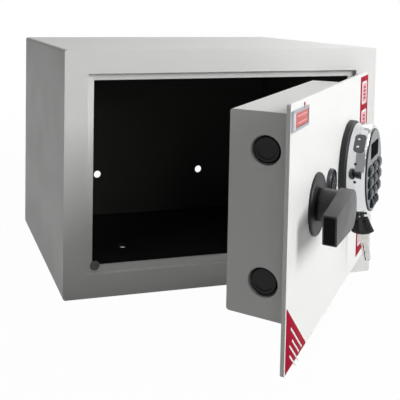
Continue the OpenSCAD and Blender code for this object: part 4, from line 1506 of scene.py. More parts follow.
@dataclass
class Keypad:
    """Round keypad: black base, chromed ring, silver face, window and contact pad.

    Attributes:
        base_edge: Radius of the base's edges.
        face_edge: Radius of the face's edges.
        ring_swell: How far the ring swells out between its two ends.
        seat_gap: Width of the groove between the face and the ring.
        stud_out: Height of the contact studs above the door.
        stud_r: Radius of a stud.
        stud_rise: Height of a stud's dome.
        stud_sunk: Depth of a stud below the ring's surface.
        stud_step: Angle from stud to stud, in degrees.
        stud_first: Angle of the first stud.
        bright_studs: How many steps from the first one hold a bright contact.
        dark_studs: Steps that hold a dark screw.
        pad_angle: Angle of the contact pad's middle.
        pad_arc: Angle that the contact pad covers.
        pad_band: Width of the contact pad.
        pad_out: Height of the contact pad's middle above the door.
        pad_corner: Radius of the contact pad's corners.
        pad_levels: Shares of the pad's outline with their heights above the ring.
        window_corner: Radius of the window's corners.
        window_edge: Radius of its polished edge.
        window_sunk: How far it lies below the face.
    """

    base_edge: float = 0.8
    face_edge: float = 0.35
    ring_swell: float = 0.5
    seat_gap: float = 0.5
    stud_out: float = 14.3
    stud_r: float = 1.3
    stud_rise: float = 0.55
    stud_sunk: float = 1.2
    stud_step: float = 10.9
    stud_first: float = 98.4
    bright_studs: int = 5
    dark_studs: tuple[int, ...] = (6, 8)
    pad_angle: float = 136.2
    pad_arc: float = 27.0
    pad_band: float = 9.8
    pad_out: float = 15.6
    pad_corner: float = 3.6
    pad_levels: tuple[Pair, ...] = (
        (0.0, -1.6), (0.5, -1.6), (1.0, -1.6), (1.0, 0.0), (0.98, 0.2), (0.94, 0.25),
        (0.8, 0.25), (0.6, 0.25), (0.4, 0.25), (0.2, 0.25), (0.0, 0.25),
    )
    window_corner: float = 1.5
    window_edge: float = 0.35
    window_sunk: float = 0.2

    def ring(self, model: Model) -> Thing:
        """Turns the chromed ring: a foot groove, a faint swell and a large front rim.

        Args:
            model: The model.

        Returns:
            The piece.
        """
        box = model.box("keypad_ring")
        foot, top, radius = box.low[2], box.high[2], box.radius
        seat = model.box("keypad_face").radius + self.seat_gap
        inner = seat - 1.6
        path = [
            (inner, foot), (radius - 0.4, foot), (radius - 0.4, foot + 0.5), (radius, foot + 0.9),
            (radius + self.ring_swell, foot + 8.0), (radius - 0.1, top - 2.6),
            (radius - 0.8, top - 0.8), (radius - 1.9, top), (seat, top), (seat, top - 1.4),
            (inner, top - 1.5), (inner, foot),
        ]
        made = surface(
            "keypad_ring_chromed", turned(profile(path, 0.25, 4), 160),
            model.axis("keypad_ring"), CHROME, Rider.DOOR,
        )
        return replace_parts(made, "keypad_ring")

    def gasket(self, model: Model) -> Thing:
        """Turns a black band round the face's edge: painted shade in the gap to the ring.

        Args:
            model: The model.

        Returns:
            The piece.
        """
        face = model.box("keypad_face")
        radius, inner, top = face.radius, face.radius - 0.5, face.high[2]
        path = [
            (inner, top - 1.6), (radius + 0.35, top - 1.6), (radius + 0.35, top - 0.35),
            (radius - 0.1, top - 0.1), (inner, top - 0.1), (inner, top - 1.6),
        ]
        # Painted shade: a black band in the groove between the face and the chromed ring.
        return surface(
            "keypad_seam_shade_band", turned(profile(path, 0.12, 3), 128), model.axis("keypad_ring"),
            TRAY_ABS_AND_SEAM_SHADE, Rider.DOOR,
        )

    def contact_pad(self, model: Model) -> Thing:
        """Wraps a rounded rectangle round the ring.

        A flat point (s, h) with height e goes to the angle s / radius, the height h along the
        axis and the distance radius + e from it.

        Args:
            model: The model.

        Returns:
            The piece.
        """
        radius = model.box("keypad_ring").radius + self.ring_swell
        width = math.radians(self.pad_arc) * radius
        outline = spaced(box_outline(width, self.pad_band, self.pad_corner, 8), 0.8)
        flat = shrunk(outline, *np.array(self.pad_levels).T)
        t = math.radians(self.pad_angle) + flat[..., 0] / radius
        r = radius + flat[..., 2]
        made = surface(
            "keypad_contact_pad",
            np.stack([r * np.cos(t), r * np.sin(t), self.pad_out + flat[..., 1]], -1),
            model.axis("keypad_ring"), CONTACT_PBT, Rider.DOOR,
        )
        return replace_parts(made, "contact_pad")

    def stud(self, model: Model, index: int) -> Thing:
        """Sets one domed stud into the ring's outside: a bright contact or a dark screw.

        Args:
            model: The model.
            index: Number of the stud, counted in steps from the first one.

        Returns:
            The piece.
        """
        radius, dome = model.box("keypad_ring").radius + self.ring_swell, np.linspace(0, 1, 8)
        dome = dome * math.pi / 2
        path = np.stack([self.stud_r * np.sin(dome), self.stud_rise * np.cos(dome)], -1)
        path = np.vstack([path, [(self.stud_r, -self.stud_sunk)]])
        at = model.axis("keypad_ring").spun(self.stud_first + index * self.stud_step)
        base = at.moved(radius, 0.0, self.stud_out)
        dark = index in self.dark_studs
        return surface(
            f"keypad_stud_{index + 1}", turned(path, 24),
            Place(base.origin, base.up, base.out, base.right),
            BLACK_STEEL_AND_GROOVE_SHADE if dark else NICKEL, Rider.DOOR,
            Shading.SOFT,
        )

    def window(self, model: Model) -> Thing:
        """Raises the window: a thin slab with round corners and a polished edge.

        Args:
            model: The model.

        Returns:
            The piece.
        """
        box, top = model.box("lcd_window"), model.box("keypad_face").high[2] - self.window_sunk
        outline = box_outline(box.size[0], box.size[1], self.window_corner)
        made = surface(
            "keypad_window", raised(outline, soft_levels(box.low[2], top, self.window_edge)),
            model.axis("lcd_window"), SMOKED_ACRYLIC, Rider.DOOR,
        )
        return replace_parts(made, "lcd_window")

    def build(self, model: Model) -> list[Thing]:
        """Builds ring, pad, studs and window, and softens the base and the face.

        Args:
            model: The model.

        Returns:
            The pieces.
        """
        model.dress(BOARD, "keypad_board")
        base = softened(
            model, "keypad_base", BASE_ABS, Rider.DOOR, self.base_edge
        )
        face = softened(
            model, "keypad_face", SILVER_LACQUER, Rider.DOOR, self.face_edge
        )
        steps = (*range(self.bright_studs), *self.dark_studs)
        parts = [part(model) for part in (self.ring, self.gasket, self.contact_pad, self.window)]
        return [base, face, *parts, *(self.stud(model, index) for index in steps)]


@dataclass
class KeyCaps:
    """Twelve domed keys with plain figures.

    Attributes:
        names: Node name of each key with the figure printed on it.
        power: Exponent of the dome's section, above 2 for a flatter top.
        skirt: Straight side that stands out of the face.
        flange: How much wider a key is behind the face than its dome.
        sunk: How far a dome's side runs on behind the face.
        figure_h: Height of a figure.
        ink_t: Thickness of the print.
        type_size: Size of the type for a figure 1 high.
        type_steps: Steps of a curve in a figure.
        dome_end: Share of the way to the key's rim up to which the print follows the dome.
    """

    names: dict[str, str] = field(
        default_factory=lambda: {
            **{f"key_{n}": str(n) for n in range(10)}, "key_clear": "*", "key_enter": "#",
        }
    )
    power: float = 2.5
    skirt: float = 0.5
    flange: float = 0.8
    sunk: float = 3.0
    figure_h: float = 3.8
    ink_t: float = 0.12
    type_size: float = 1.4
    type_steps: int = 3
    dome_end: float = 0.98

    def cap(self, model: Model, node: str) -> Thing:
        """Domes one key.

        The outline shrinks by sin(t) to the power 2/n while the height grows by cos(t) to the
        power 2/n, which is a superellipse from the key's rim to its top.

        Args:
            model: The model.
            node: Name of the node that the piece is measured from.

        Returns:
            The piece.
        """
        box, face = model.box(node), model.box("keypad_face").high[2]
        width, height = box.size[:2] - self.flange
        outline = box_outline(width, height, height / 2 - 0.15, 10)
        t = np.linspace(0, math.pi / 2, 14)
        share = np.append(np.sin(t) ** (2 / self.power), 1.0)
        rise = (box.high[2] - face - self.skirt) * np.cos(t) ** (2 / self.power)
        heights = np.append(face + self.skirt + rise, face - self.sunk)
        made = surface(
            f"{node}_domed", shrunk(outline, share, heights), model.axis(node),
            KEY_SILICONE, Rider.DOOR, Shading.SOFT,
        )
        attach(made, f"{node}_cap")
        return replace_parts(made, node)

    def figure(self, model: Model, node: str) -> Thing:
        """Prints one figure: its flat points are lifted onto the dome's own height.

        Args:
            model: The model.
            node: Name of the node that the piece is measured from.

        Returns:
            The piece.
        """
        curve = bpy.data.curves.new(f"{node}_figure", "FONT")
        curve.body, curve.size = self.names[node], self.figure_h * self.type_size * MM
        curve.align_x = curve.align_y = "CENTER"
        curve.extrude, curve.resolution_u = self.ink_t * MM, self.type_steps
        text = bpy.data.objects.new(f"{node}_text", curve)
        bpy.context.scene.collection.objects.link(text)
        bpy.context.view_layer.update()
        shown = text.evaluated_get(bpy.context.evaluated_depsgraph_get())
        mesh = bpy.data.meshes.new_from_object(shown)
        bpy.data.objects.remove(text)
        flat, box = points_of(mesh) / MM, model.box(node)
        flat[:, :2] -= (flat[:, :2].min(0) + flat[:, :2].max(0)) / 2
        half = (box.size[:2] - self.flange) / 2
        share = np.clip(np.linalg.norm(flat[:, :2] / half, axis=1), 0, self.dome_end)
        face = model.box("keypad_face").high[2] + self.skirt
        dome = (1 - share**self.power) ** (1 / self.power)
        flat[:, 2] += face + (box.high[2] - face) * dome
        mesh.vertices.foreach_set("co", model.axis(node).world(flat).ravel())
        tidy(mesh, Shading.CREASED)
        made = piece(f"{node}_print", mesh, KEY_INK, Rider.DOOR)
        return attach(made, f"{node}_cap")

    def build(self, model: Model) -> list[Thing]:
        """Builds every key with its figure."""
        return [make(model, node) for make in (self.cap, self.figure) for node in self.names]


@dataclass
class HangingKey:
    """Key with a ribbed black head, hanging under the keypad.

    Attributes:
        lean: How far the key's lower end stands away from the door, in degrees.
        fan_r: Radius of the fan-shaped head about the pin.
        fan_w: Width of the head at its lower edge.
        top_w: Width of the head at its upper edge.
        top_drop: How far that edge lies below the pin.
        fan_t: Thickness of the head.
        side_power: Exponent of the head's section across; a smaller one is squarer.
        face_power: The same through the head's thickness.
        rim_power: Exponent of the upper and lower rims; a larger one is squarer.
        hub_r: Radius of the eye round the pin.
        bore_r: Radius of the eye's hole.
        ribs: Number of ribs on each side of the head.
        rib_depth: Depth between the ribs.
        rib_margin: Share of the head above and below the ribs.
        rib_fade: Share over which the ribs fade in.
        rim_share: Share of the head that its rounded upper and lower rims take.
        blade_len: Length below the head.
        blade_w: Width of the blade.
        blade_t: Thickness of the blade.
        blade_power: Exponent of the blade's section.
        sunk: How far the blade runs up into the head.
        cut: Depth of the deepest cut in the blade's edge.
        cut_waves: Rate per mm, size and start of the waves that shape the cuts.
        tip_len: How far above its end the blade starts to draw in.
        tip_run: Length over which it would reach its narrowest.
        tip_loss: Share of the width that is lost there.
        grooves: Places of the two grooves across the blade.
        groove_w: Half width of a groove.
        groove_depth: Depth of a groove.
        floor_w: Width of a black strip of painted shade on a groove's floor.
        floor_gap: Distance of a strip's ends from the shoulder and from the blade's end.
        floor_sunk: How far a strip lies below the blade's face.
        shoulder_w: Width of the shoulder.
        shoulder_h: Height of the shoulder.
        shoulder_fade: Length that sets how softly the shoulder turns into the blade.
    """

    lean: float = 10.0
    fan_r: float = 18.5
    fan_w: float = 21.0
    top_w: float = 13.0
    top_drop: float = 1.1
    fan_t: float = 4.0
    side_power: float = 0.35
    face_power: float = 0.28
    rim_power: float = 2.5
    hub_r: float = 3.2
    bore_r: float = 0.95
    ribs: int = 11
    rib_depth: float = 0.8
    rib_margin: float = 0.1
    rib_fade: float = 0.05
    rim_share: float = 0.07
    blade_len: float = 25.5
    blade_w: float = 7.0
    blade_t: float = 2.0
    blade_power: float = 0.3
    sunk: float = 0.6
    cut: float = 0.9
    cut_waves: tuple[tuple[float, float, float], ...] = ((1.15, 1.0, 0.0), (2.9, 0.45, 1.0))
    tip_len: float = 2.4
    tip_run: float = 3.0
    tip_loss: float = 0.55
    grooves: Pair = (-1.35, 1.2)
    groove_w: float = 0.42
    groove_depth: float = 0.5
    floor_w: float = 0.62
    floor_gap: float = 0.8
    floor_sunk: float = 0.12
    shoulder_w: float = 10.0
    shoulder_h: float = 7.0
    shoulder_fade: float = 0.25

    def place(self, model: Model) -> Place:
        """Returns the pin's middle, with local x away from the door and y up along the key."""
        middle = model.box("key_pin").middle
        return model.door.moved(*middle).tipped(self.lean).facing_left()

    def head(self, model: Model) -> Thing:
        """Fans the head out.

        Rows s run from the straight upper edge to the arc of fan_r about the pin, and blend
        the two. A row's section is a flat superellipse, whose thickness carries a cosine for
        the ribs and closes at both edges.

        Args:
            model: The model.

        Returns:
            The piece.
        """
        s = np.linspace(0, 1, 48)[:, None]
        w = np.linspace(0, 2 * math.pi, 240, endpoint=False)[None]
        u = signed_power(np.cos(w), self.side_power)
        across = u * (self.top_w + (self.fan_w - self.top_w) * s) / 2
        arc = np.sqrt(self.fan_r**2 - across**2)
        down = self.top_drop * (1 - s) + arc * s
        end = np.minimum(s, 1 - s)
        near = np.clip(end / self.rim_share, 0, 1)
        closing = (1 - (1 - near) ** self.rim_power) ** (1 / self.rim_power)
        body = self.fan_t / 2 * signed_power(np.sin(w), self.face_power) * closing
        inner = np.clip((end - self.rib_margin) / self.rib_fade, 0, 1)
        wave = 0.5 - 0.5 * np.cos(math.pi * self.ribs * (u + 1))
        body = body * (1 - self.rib_depth / (self.fan_t / 2) * inner * wave)
        made = surface(
            "key_head", np.stack([across, -down, body], -1).transpose(1, 0, 2),
            self.place(model), KEY_NYLON, Rider.KEY,
        )
        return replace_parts(made, "key_bow")

    def eye(self, model: Model) -> Thing:
        """Turns the eye round the pin, with rounded rims.

        Args:
            model: The model.

        Returns:
            The piece.
        """
        bore, half = self.bore_r, self.fan_t / 2
        path = [(bore, -half), (self.hub_r, -half), (self.hub_r, half), (bore, half), (bore, -half)]
        return surface(
            "key_eye", turned(profile(path, 0.5), 48), self.place(model),
            KEY_NYLON, Rider.KEY,
        )

    def blade(self, model: Model) -> Thing:
        """Carries the blade's section down its length.

        The section is a rectangle of half width a and half thickness b, with a groove along each
        side. The half width steps from the shoulder to the blade, dips by the cuts on one edge
        and draws in at the tip.

        Args:
            model: The model.

        Returns:
            The piece.
        """
        y = np.linspace(0, 1, 120)[:, None] * (self.blade_len + self.sunk)
        w = np.linspace(0, 2 * math.pi, 64, endpoint=False)[None]
        x, z = (signed_power(wave(w), self.blade_power) for wave in (np.cos, np.sin))
        shoulder = 1 / (1 + np.exp((y - self.shoulder_h) / self.shoulder_fade))
        half = self.blade_w / 2 + (self.shoulder_w - self.blade_w) / 2 * shoulder
        waves = sum(size * np.sin(y * rate + start) for rate, size, start in self.cut_waves)
        cuts = self.cut * np.clip(waves, 0, 1) * (1 - shoulder) * (x < 0)
        drawn = np.clip((y - self.blade_len + self.tip_len) / self.tip_run, 0, 1)
        tip = 1 - self.tip_loss * drawn**2
        across = x * (half - cuts) * tip
        dips = [np.exp(-(((across - at) / self.groove_w) ** 2)) for at in self.grooves]
        groove = self.groove_depth * sum(dips) * (1 - shoulder)
        deep = z * (self.blade_t / 2 - groove * np.abs(z) ** 3)
        grid = np.stack([across, -self.fan_r + self.sunk - y + 0 * w, deep], -1)
        made = surface(
            "key_blade_cut", grid.transpose(1, 0, 2), self.place(model),
            KEY_METAL, Rider.KEY,
        )
        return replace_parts(made, "key_blade")

    def groove_floors(self, model: Model) -> list[Thing]:
        """Lays two black strips through the blade: painted shade on its grooves' floors.

        Args:
            model: The model.

        Returns:
            The two strips.
        """
        place, gap, half = self.place(model), self.floor_gap, self.blade_t / 2 - self.floor_sunk
        length = self.blade_len - self.shoulder_h - 2 * gap
        middle = -self.fan_r - self.shoulder_h - gap - length / 2
        outline = box_outline(self.floor_w, length, 0.3, 3)
        # Painted shade: each black slab shows only where a groove's floor lies in shade.
        return [
            surface(
                f"key_groove_shade_{index + 1}", raised(outline, soft_levels(-half, half, 0.05, 2)),
                place.moved(at, middle, 0.0), BLACK_STEEL_AND_GROOVE_SHADE, Rider.KEY,
            )
            for index, at in enumerate(self.grooves)
        ]

    def build(self, model: Model) -> list[Thing]:
        """Builds head, eye and blade with its grooves, and dresses the pin."""
        model.dress(ZINC_STEEL, "key_pin")
        return [self.head(model), self.eye(model), self.blade(model), *self.groove_floors(model)]


@dataclass
class Labels:
    """Blank badge, red strip, corner triangle and small tab on the door's face.

    Attributes:
        film: Thickness of a label.
        strip_w: Width of the red strip.
        strip_low: Height of the strip's lower end.
        strip_high: Height of the strip's upper end.
        strip_gap: Distance of the strip from the hinged edge.
        box_high: Height of the upper end of the top white box.
        box_len: Length of a white box.
        box_step: Distance from box to box.
        box_count: Number of white boxes on the strip.
        bar_count: Number of short bars in a box.
        field_rim: Height of a box's white rim above and below its rose field.
        shares: Widths of a box, its rose field and its bars, as shares of the strip's.
        radii: Corner radii of the strip, a box, its rose field and its bars.
        bar_share: Height of a bar as a share of the step from bar to bar.
        triangle: Corners of the triangle.
        stripes: Depth, start and length of each stripe along the triangle's long side.
        stripe_w: Width of a stripe.
        tab: Left, lower, width and height of the small tab.
        badge_rim: Width of the badge's frame.
        roll_w: Width of the rolled end of the badge's frame.
        bar_places: Heights of the badge's two bars from its middle.
    """

    film: float = 0.15
    strip_w: float = 40.0
    strip_low: float = 32.5
    strip_high: float = 222.0
    strip_gap: float = 0.5
    box_high: float = 216.4
    box_len: float = 24.0
    box_step: float = 30.3
    box_count: int = 6
    bar_count: int = 4
    field_rim: float = 2.5
    shares: tuple[float, float, float] = (0.64, 0.42, 0.22)
    radii: tuple[float, float, float, float] = (0.8, 3.5, 2.5, 0.6)
    bar_share: float = 0.45
    triangle: tuple[Pair, ...] = ((2.4, 26.0), (60.0, 26.0), (2.4, 76.0))
    stripes: tuple[tuple[float, float, float], ...] = (
        (6.0, 12.0, 42.0), (11.5, 18.0, 26.0), (17.0, 14.0, 34.0), (22.5, 20.0, 22.0),
    )
    stripe_w: float = 1.7
    tab: tuple[float, float, float, float] = (35.2, 219.6, 3.6, 2.8)
    badge_rim: float = 2.4
    roll_w: float = 7.6
    bar_places: Pair = (-2.6, 2.6)

    def sheet(
        self, name: str, model: Model, outline: np.ndarray, finish: Finish, layer: int = 0
    ) -> Thing:
        """Lays one film on the door's face, or on the films below it.

        Args:
            name: Name of the piece.
            model: The model.
            outline: Points of the outline, counter-clockwise.
            finish: The finish.
            layer: How many films lie below it.

        Returns:
            The film.
        """
        low = layer * self.film
        levels = soft_levels(low - 0.02, low + self.film, self.film / 3, 2, False)
        return surface(name, raised(outline, levels), model.door, finish, Rider.DOOR)

    def strip(self, model: Model) -> list[Thing]:
        """Lays the red strip with its row of blank white boxes.

        Args:
            model: The model.

        Returns:
            The strip's films.
        """
        middle = model.box("door_plate").high[0] - self.strip_gap - self.strip_w / 2
        length = self.strip_high - self.strip_low
        box_w, field_w, bar_w = (share * self.strip_w for share in self.shares)
        film_r, box_r, field_r, bar_r = self.radii
        film = box_outline(self.strip_w, length, film_r) + (middle, self.strip_low + length / 2)
        made = [self.sheet("strip_film", model, film, RED_VINYL)]
        field_len = self.box_len - 2 * self.field_rim
        step = field_len / (self.bar_count + 1)
        for index in range(self.box_count):
            high = self.box_high - index * self.box_step
            centre = (middle, high - self.box_len / 2)
            blank = box_outline(box_w, self.box_len, box_r) + centre
            core = box_outline(field_w, field_len, field_r) + centre
            made.append(self.sheet(f"strip_box_{index + 1}", model, blank, WHITE_INK, 1))
            made.append(self.sheet(f"strip_core_{index + 1}", model, core, ROSE_INK, 2))
            for bar in range(self.bar_count):
                at = (middle, high - self.field_rim - step * (bar + 1))
                dash = box_outline(bar_w, step * self.bar_share, bar_r) + at
                name = f"strip_bar_{index + 1}_{bar + 1}"
                made.append(self.sheet(name, model, dash, MAROON_INK, 3))
        return made

    def corner(self, model: Model) -> list[Thing]:
        """Lays the corner triangle with plain stripes along its long side.

        Args:
            model: The model.

        Returns:
            The triangle's films.
        """
        made = [self.sheet("triangle_film", model, rounded(self.triangle, 0.6), RED_VINYL)]
        _, right, top = np.array(self.triangle)
        along = (top - right) / np.linalg.norm(top - right)
        inward = np.array([-along[1], along[0]])
        for index, (depth, start, length) in enumerate(self.stripes):
            first = right + inward * depth + along * start
            last, wide = first + along * length, inward * self.stripe_w
            stripe = rounded([first, last, last + wide, first + wide], 0.5, 3)
            made.append(self.sheet(f"triangle_stripe_{index + 1}", model, stripe, WHITE_INK, 1))
        return made

    def badge(self, model: Model) -> list[Thing]:
        """Softens the badge's frame and fills it with a blank enamel panel of plain bars.

        Args:
            model: The model.

        Returns:
            The frame and what lies in it.
        """
        frame = softened(model, "badge_frame", ZINC_STEEL, Rider.DOOR, 0.35)
        box = model.box("badge_frame")
        low = box.low[:2] + (self.roll_w + 0.4, self.badge_rim)
        high = box.high[:2] - self.badge_rim
        panel, (width, height) = model.door.moved(*(low + high) / 2, 0.0), high - low
        slabs = (
            (
                "badge_roll", (self.roll_w, box.size[1], 1.0), (0.4, box.high[2], 0.9, 5, False),
                model.door.moved(box.low[0] + self.roll_w / 2, box.middle[1], 0.0),
                CHROME, "chromed_ring",
            ),
            (
                "badge_panel", (width, height, 0.7), (0.75, 1.25, 0.2), panel,
                BADGE_ENAMEL, "red_button",
            ),
            *(
                (
                    f"badge_bar_{index + 1}", (width - 8, 1.2, 0.5), (1.2, 1.38, 0.05, 2),
                    panel.moved(0.0, at, 0.0), ROSE_INK, "white_powder_coat",
                )
                for index, at in enumerate(self.bar_places)
            ),
        )
        return [
            frame,
            *(
                surface(
                    name, raised(box_outline(*outline), soft_levels(*levels)), place,
                    finish, Rider.DOOR,
                )
                for name, outline, levels, place, finish, slot in slabs
            ),
        ]

    def build(self, model: Model) -> list[Thing]:
        """Builds the badge, the strip, the triangle and the tab.

        Args:
            model: The model.

        Returns:
            The pieces.
        """
        left, low, width, height = self.tab
        tab = box_outline(width, height, 1.0) + (left + width / 2, low + height / 2)
        made = self.badge(model) + self.strip(model) + self.corner(model)
        return [*made, self.sheet("tab_film", model, tab, RED_VINYL)]


@dataclass
class Electronics:
    """Solenoid, control board, batteries, sliding cover and reset button.

    Attributes:
        cover_edge: Radius of the sliding cover's edges.
        button_edge: Radius of the reset button's rim.
        button_r: Radius of the reset button.
    """

    cover_edge: float = 0.4
    button_edge: float = 0.8
    button_r: float = 4.0

    def button(self, model: Model) -> Thing:
        """Turns the reset button: a dished cap with a round rim and a collar inside.

        Args:
            model: The model.

        Returns:
            The piece.
        """
        back = model.door.facing_back()
        box, radius, edge = model.box("reset_button", back), self.button_r, self.button_edge
        collar, low, high = box.radius, box.low[2], box.high[2]
        path = [
            (0.0, high - 0.35), (radius * 0.6, high - 0.25), (radius - edge, high),
            (radius, high - edge), (radius, low + 2.2), (collar, low + 2.2),
            (collar, low + 1.2), (radius, low + 1.2), (radius, low), (0.0, low),
        ]
        made = surface(
            "reset_cap", turned(profile(path, 0.2, 3), 48),
            back.moved(box.middle[0], box.middle[1], 0.0), RED_ABS, Rider.RESET,
        )
        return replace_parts(made, "reset_button")

    def build(self, model: Model) -> list[Thing]:
        """Softens the cover, turns the button and dresses what lies inside the housing.

        Args:
            model: The model.

        Returns:
            The pieces.
        """
        model.dress(ZINC_STEEL, "solenoid_frame", "solenoid_plunger")
        model.dress(COIL_TAPE, "solenoid_coil")
        model.dress(BOARD, "control_board")
        model.dress(TRAY_ABS_AND_SEAM_SHADE, "battery_tray")
        model.dress(CELL_SLEEVE, "batteries")
        cover = softened(
            model, "battery_cover", COVER_ABS, Rider.COVER, self.cover_edge
        )
        return [cover, self.button(model)]


@dataclass
class Studio:
    """Pale floor, white surroundings, soft lamps and the camera.

    A lamp's level is how bright a white card that faces it renders. An area lamp of P watts
    gives a card at distance d the brightness P / (pi^2 d^2).

    Attributes:
        camera_at: The camera's place in metres.
        yaw: How far the camera looks to the right of the body's depth, in degrees.
        pitch: How far it looks down.
        roll: How far it leans to the left.
        sensor: Width of the sensor.
        lens: Focal length for that sensor.
        clip: Nearest and furthest distance that is drawn, in metres.
        shift: Shift of the frame, as a share of its width.
        lamps_aim: The point that the lamps face, in metres.
        ambient: Brightness of the surroundings for soft light.
        bright_way: Level direction from which mirrors see the white backdrop.
        sweep_from: Cosines to that way between which the mirrors' backdrop brightens.
        sweep_to: Brightness of the mirrors' backdrop at those cosines.
        floor_colour: sRGB hex colour of the floor.
        floor_roughness: Its roughness.
        floor_shown: Share of plain white in the floor near the safe as the camera sees it.
        floor_clear: Distances in metres between which that share rises to all white.
        floor_half: Half of the floor's side.
        floor_below: How far the floor lies below the safe.
    """

    camera_at: tuple[float, float, float] = (-0.30935, -0.75854, 0.29328)
    yaw: float = 14.18
    pitch: float = 2.95
    roll: float = 0.63
    sensor: float = 36.0
    lens: float = 60.02
    clip: Pair = (0.01, 60.0)
    shift: Pair = (0.2732, -0.4005)
    lamps_aim: tuple[float, float, float] = (0.0, -0.1, 0.12)
    ambient: float = 0.045
    bright_way: tuple[float, float, float] = (0.8, 0.6, 0.0)
    sweep_from: Pair = (0.3, 0.9)
    sweep_to: Pair = (0.35, 0.78)
    floor_colour: str = "#BABABA"
    floor_roughness: float = 0.9
    floor_shown: float = 0.98
    floor_clear: Pair = (0.35, 1.4)
    floor_half: float = 12.0
    floor_below: float = 0.0002

    def aimed(
        self, name: str, data: bpy.types.ID, turn: Sequence[np.ndarray], at: np.ndarray
    ) -> Thing:
        """Puts a camera or lamp into the scene; turn is its right, its up and its back.

        Args:
            name: Name of the piece.
            data: The camera or the lamp.
            turn: Unit vectors to its right, up and back.
            at: Its place in metres.

        Returns:
            The camera or the lamp.
        """
        made = bpy.data.objects.new(name, data)
        turned_to = Matrix(np.stack(turn, 1).tolist()).to_4x4()
        made.matrix_world = Matrix.Translation(at) @ turned_to
        bpy.context.scene.collection.objects.link(made)
        return made

    def camera(self) -> Thing:
        """Sets the camera: it looks along yaw and pitch, and its up leans by roll.

        Returns:
            The camera.
        """
        yaw, pitch, roll = (math.radians(a) for a in (self.yaw, self.pitch, self.roll))
        level = np.array([math.cos(yaw), -math.sin(yaw), 0.0])
        flat = np.array([math.sin(yaw), math.cos(yaw), 0.0]) * math.cos(pitch)
        ahead = flat - (0.0, 0.0, math.sin(pitch))
        over = np.cross(level, ahead)
        right = math.cos(roll) * level + math.sin(roll) * over
        up = math.cos(roll) * over - math.sin(roll) * level
        data = bpy.data.cameras.new("camera")
        data.sensor_width, data.lens = self.sensor, self.lens
        data.shift_x, data.shift_y = self.shift
        data.clip_start, data.clip_end = self.clip
        made = self.aimed("camera", data, (right, up, -ahead), self.camera_at)
        bpy.context.scene.camera = made
        return made

    def lamp(
        self,
        name: str,
        azimuth: float,
        elevation: float,
        distance: float,
        size: Pair,
        level: float,
    ) -> Thing:
        """Sets one rectangular lamp that faces the safe.

        Args:
            name: Name of the lamp.
            azimuth: Degrees to the right of the body's front, seen from the safe.
            elevation: Degrees above the floor.
            distance: Metres from the safe's middle.
            size: Width and height in metres.
            level: Brightness of a white card that faces the lamp.

        Returns:
            The lamp.
        """
        a, e = math.radians(azimuth), math.radians(elevation)
        away = np.array([math.sin(a) * math.cos(e), -math.cos(a) * math.cos(e), math.sin(e)])
        right = np.array([math.cos(a), math.sin(a), 0.0])
        data = bpy.data.lights.new(name, "AREA")
        data.shape, data.size, data.size_y = "RECTANGLE", size[0], size[1]
        data.energy = level * math.pi**2 * distance**2
        at = self.lamps_aim + away * distance
        return self.aimed(name, data, (right, np.cross(away, right), away), at)

    def surroundings(self) -> None:
        """Makes the world: white for the camera, a white to grey sweep for mirrors, dim else."""
        world = bpy.data.worlds.new("studio")
        bpy.context.scene.world = world
        tree = cleared(world)
        way = add(tree, "ShaderNodeTexCoord", out="Generated")
        inputs = {0: way, 1: self.bright_way}
        along = add(tree, "ShaderNodeVectorMath", inputs, "Value", operation="DOT_PRODUCT")
        sweep = mapped(tree, along, self.sweep_from, self.sweep_to, "SMOOTHSTEP")
        soft, mirror, seen = (
            add(tree, "ShaderNodeBackground", {"Color": WHITE, "Strength": strength})
            for strength in (self.ambient, sweep, 1.0)
        )
        first = add(tree, "ShaderNodeMixShader", {0: mirror_rays(tree), 1: soft, 2: mirror})
        camera = add(tree, "ShaderNodeLightPath", out="Is Camera Ray")
        last = add(tree, "ShaderNodeMixShader", {0: camera, 1: first, 2: seen})
        add(tree, "ShaderNodeOutputWorld", {"Surface": last})

    def floor(self) -> Thing:
        """Lays the floor: it keeps the safe's shadow and is otherwise white to the camera.

        Returns:
            The floor.
        """
        material = bpy.data.materials.new("paper_floor")
        tree = cleared(material)
        camera = add(tree, "ShaderNodeLightPath", out="Is Camera Ray")
        shown = calc(tree, "MAXIMUM", camera, mirror_rays(tree))
        place = add(tree, "ShaderNodeTexCoord", out="Object")
        away = add(tree, "ShaderNodeVectorMath", {0: place}, "Value", operation="LENGTH")
        clear = mapped(tree, away, self.floor_clear, (self.floor_shown, 1.0), "SMOOTHSTEP")
        base = {"Base Color": linear(self.floor_colour), "Roughness": self.floor_roughness}
        paper = add(tree, "ShaderNodeBsdfPrincipled", base)
        glow = add(tree, "ShaderNodeEmission", {"Color": WHITE, "Strength": 1.0})
        share = calc(tree, "MULTIPLY", shown, clear)
        mixed = add(tree, "ShaderNodeMixShader", {0: share, 1: paper, 2: glow})
        add(tree, "ShaderNodeOutputMaterial", {"Surface": mixed})
        mesh, half = bpy.data.meshes.new("floor"), self.floor_half
        corners = [(-half, -half), (half, -half), (half, half), (-half, half)]
        mesh.from_pydata([(*c, -self.floor_below) for c in corners], [], [(0, 1, 2, 3)])
        mesh.materials.append(material)
        made = bpy.data.objects.new("floor", mesh)
        bpy.context.scene.collection.objects.link(made)
        return made

    def build(self, model: Model) -> list[Thing]:
        """Sets colour management, floor, surroundings, lamps and camera.

        Args:
            model: Not used.

        Returns:
            The pieces.
        """
        bpy.context.scene.view_settings.view_transform = "Standard"
        self.surroundings()
        return [
            self.camera(),
            self.floor(),
            self.lamp("key_lamp", 34.0, 28.0, 1.6, (0.5, 0.8), 0.63),
            self.lamp("side_lamp", 78.0, 24.0, 2.0, (0.6, 0.9), 0.20),
            self.lamp("back_lamp", 125.0, 30.0, 2.0, (1.4, 1.0), 0.16),
            self.lamp("top_lamp", 20.0, 80.0, 2.2, (2.8, 2.8), 0.34),
        ]


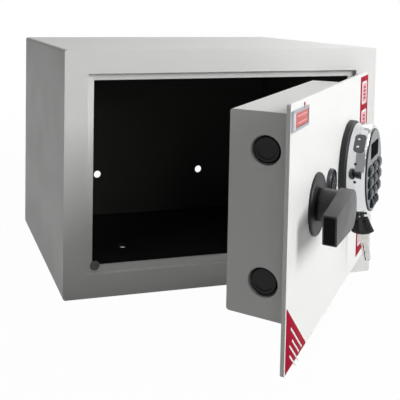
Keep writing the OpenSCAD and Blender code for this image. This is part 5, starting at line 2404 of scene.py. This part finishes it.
def main() -> None:
    """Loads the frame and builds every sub-assembly in order."""
    logging.basicConfig(level=logging.INFO, format="%(message)s")
    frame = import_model()
    model = Model.read(frame)
    assemblies = (
        Studio(),
        SafeBody(),
        Hinges(),
        DoorLeaf(),
        BoltWork(),
        Handle(),
        OverrideLock(),
        Keypad(),
        KeyCaps(),
        HangingKey(),
        Labels(),
        Electronics(),
    )
    for assembly in assemblies:
        for made in assembly.build(model):
            LOG.info("%s: %s", type(assembly).__name__, made.name)


if __name__ == "__main__":
    main()
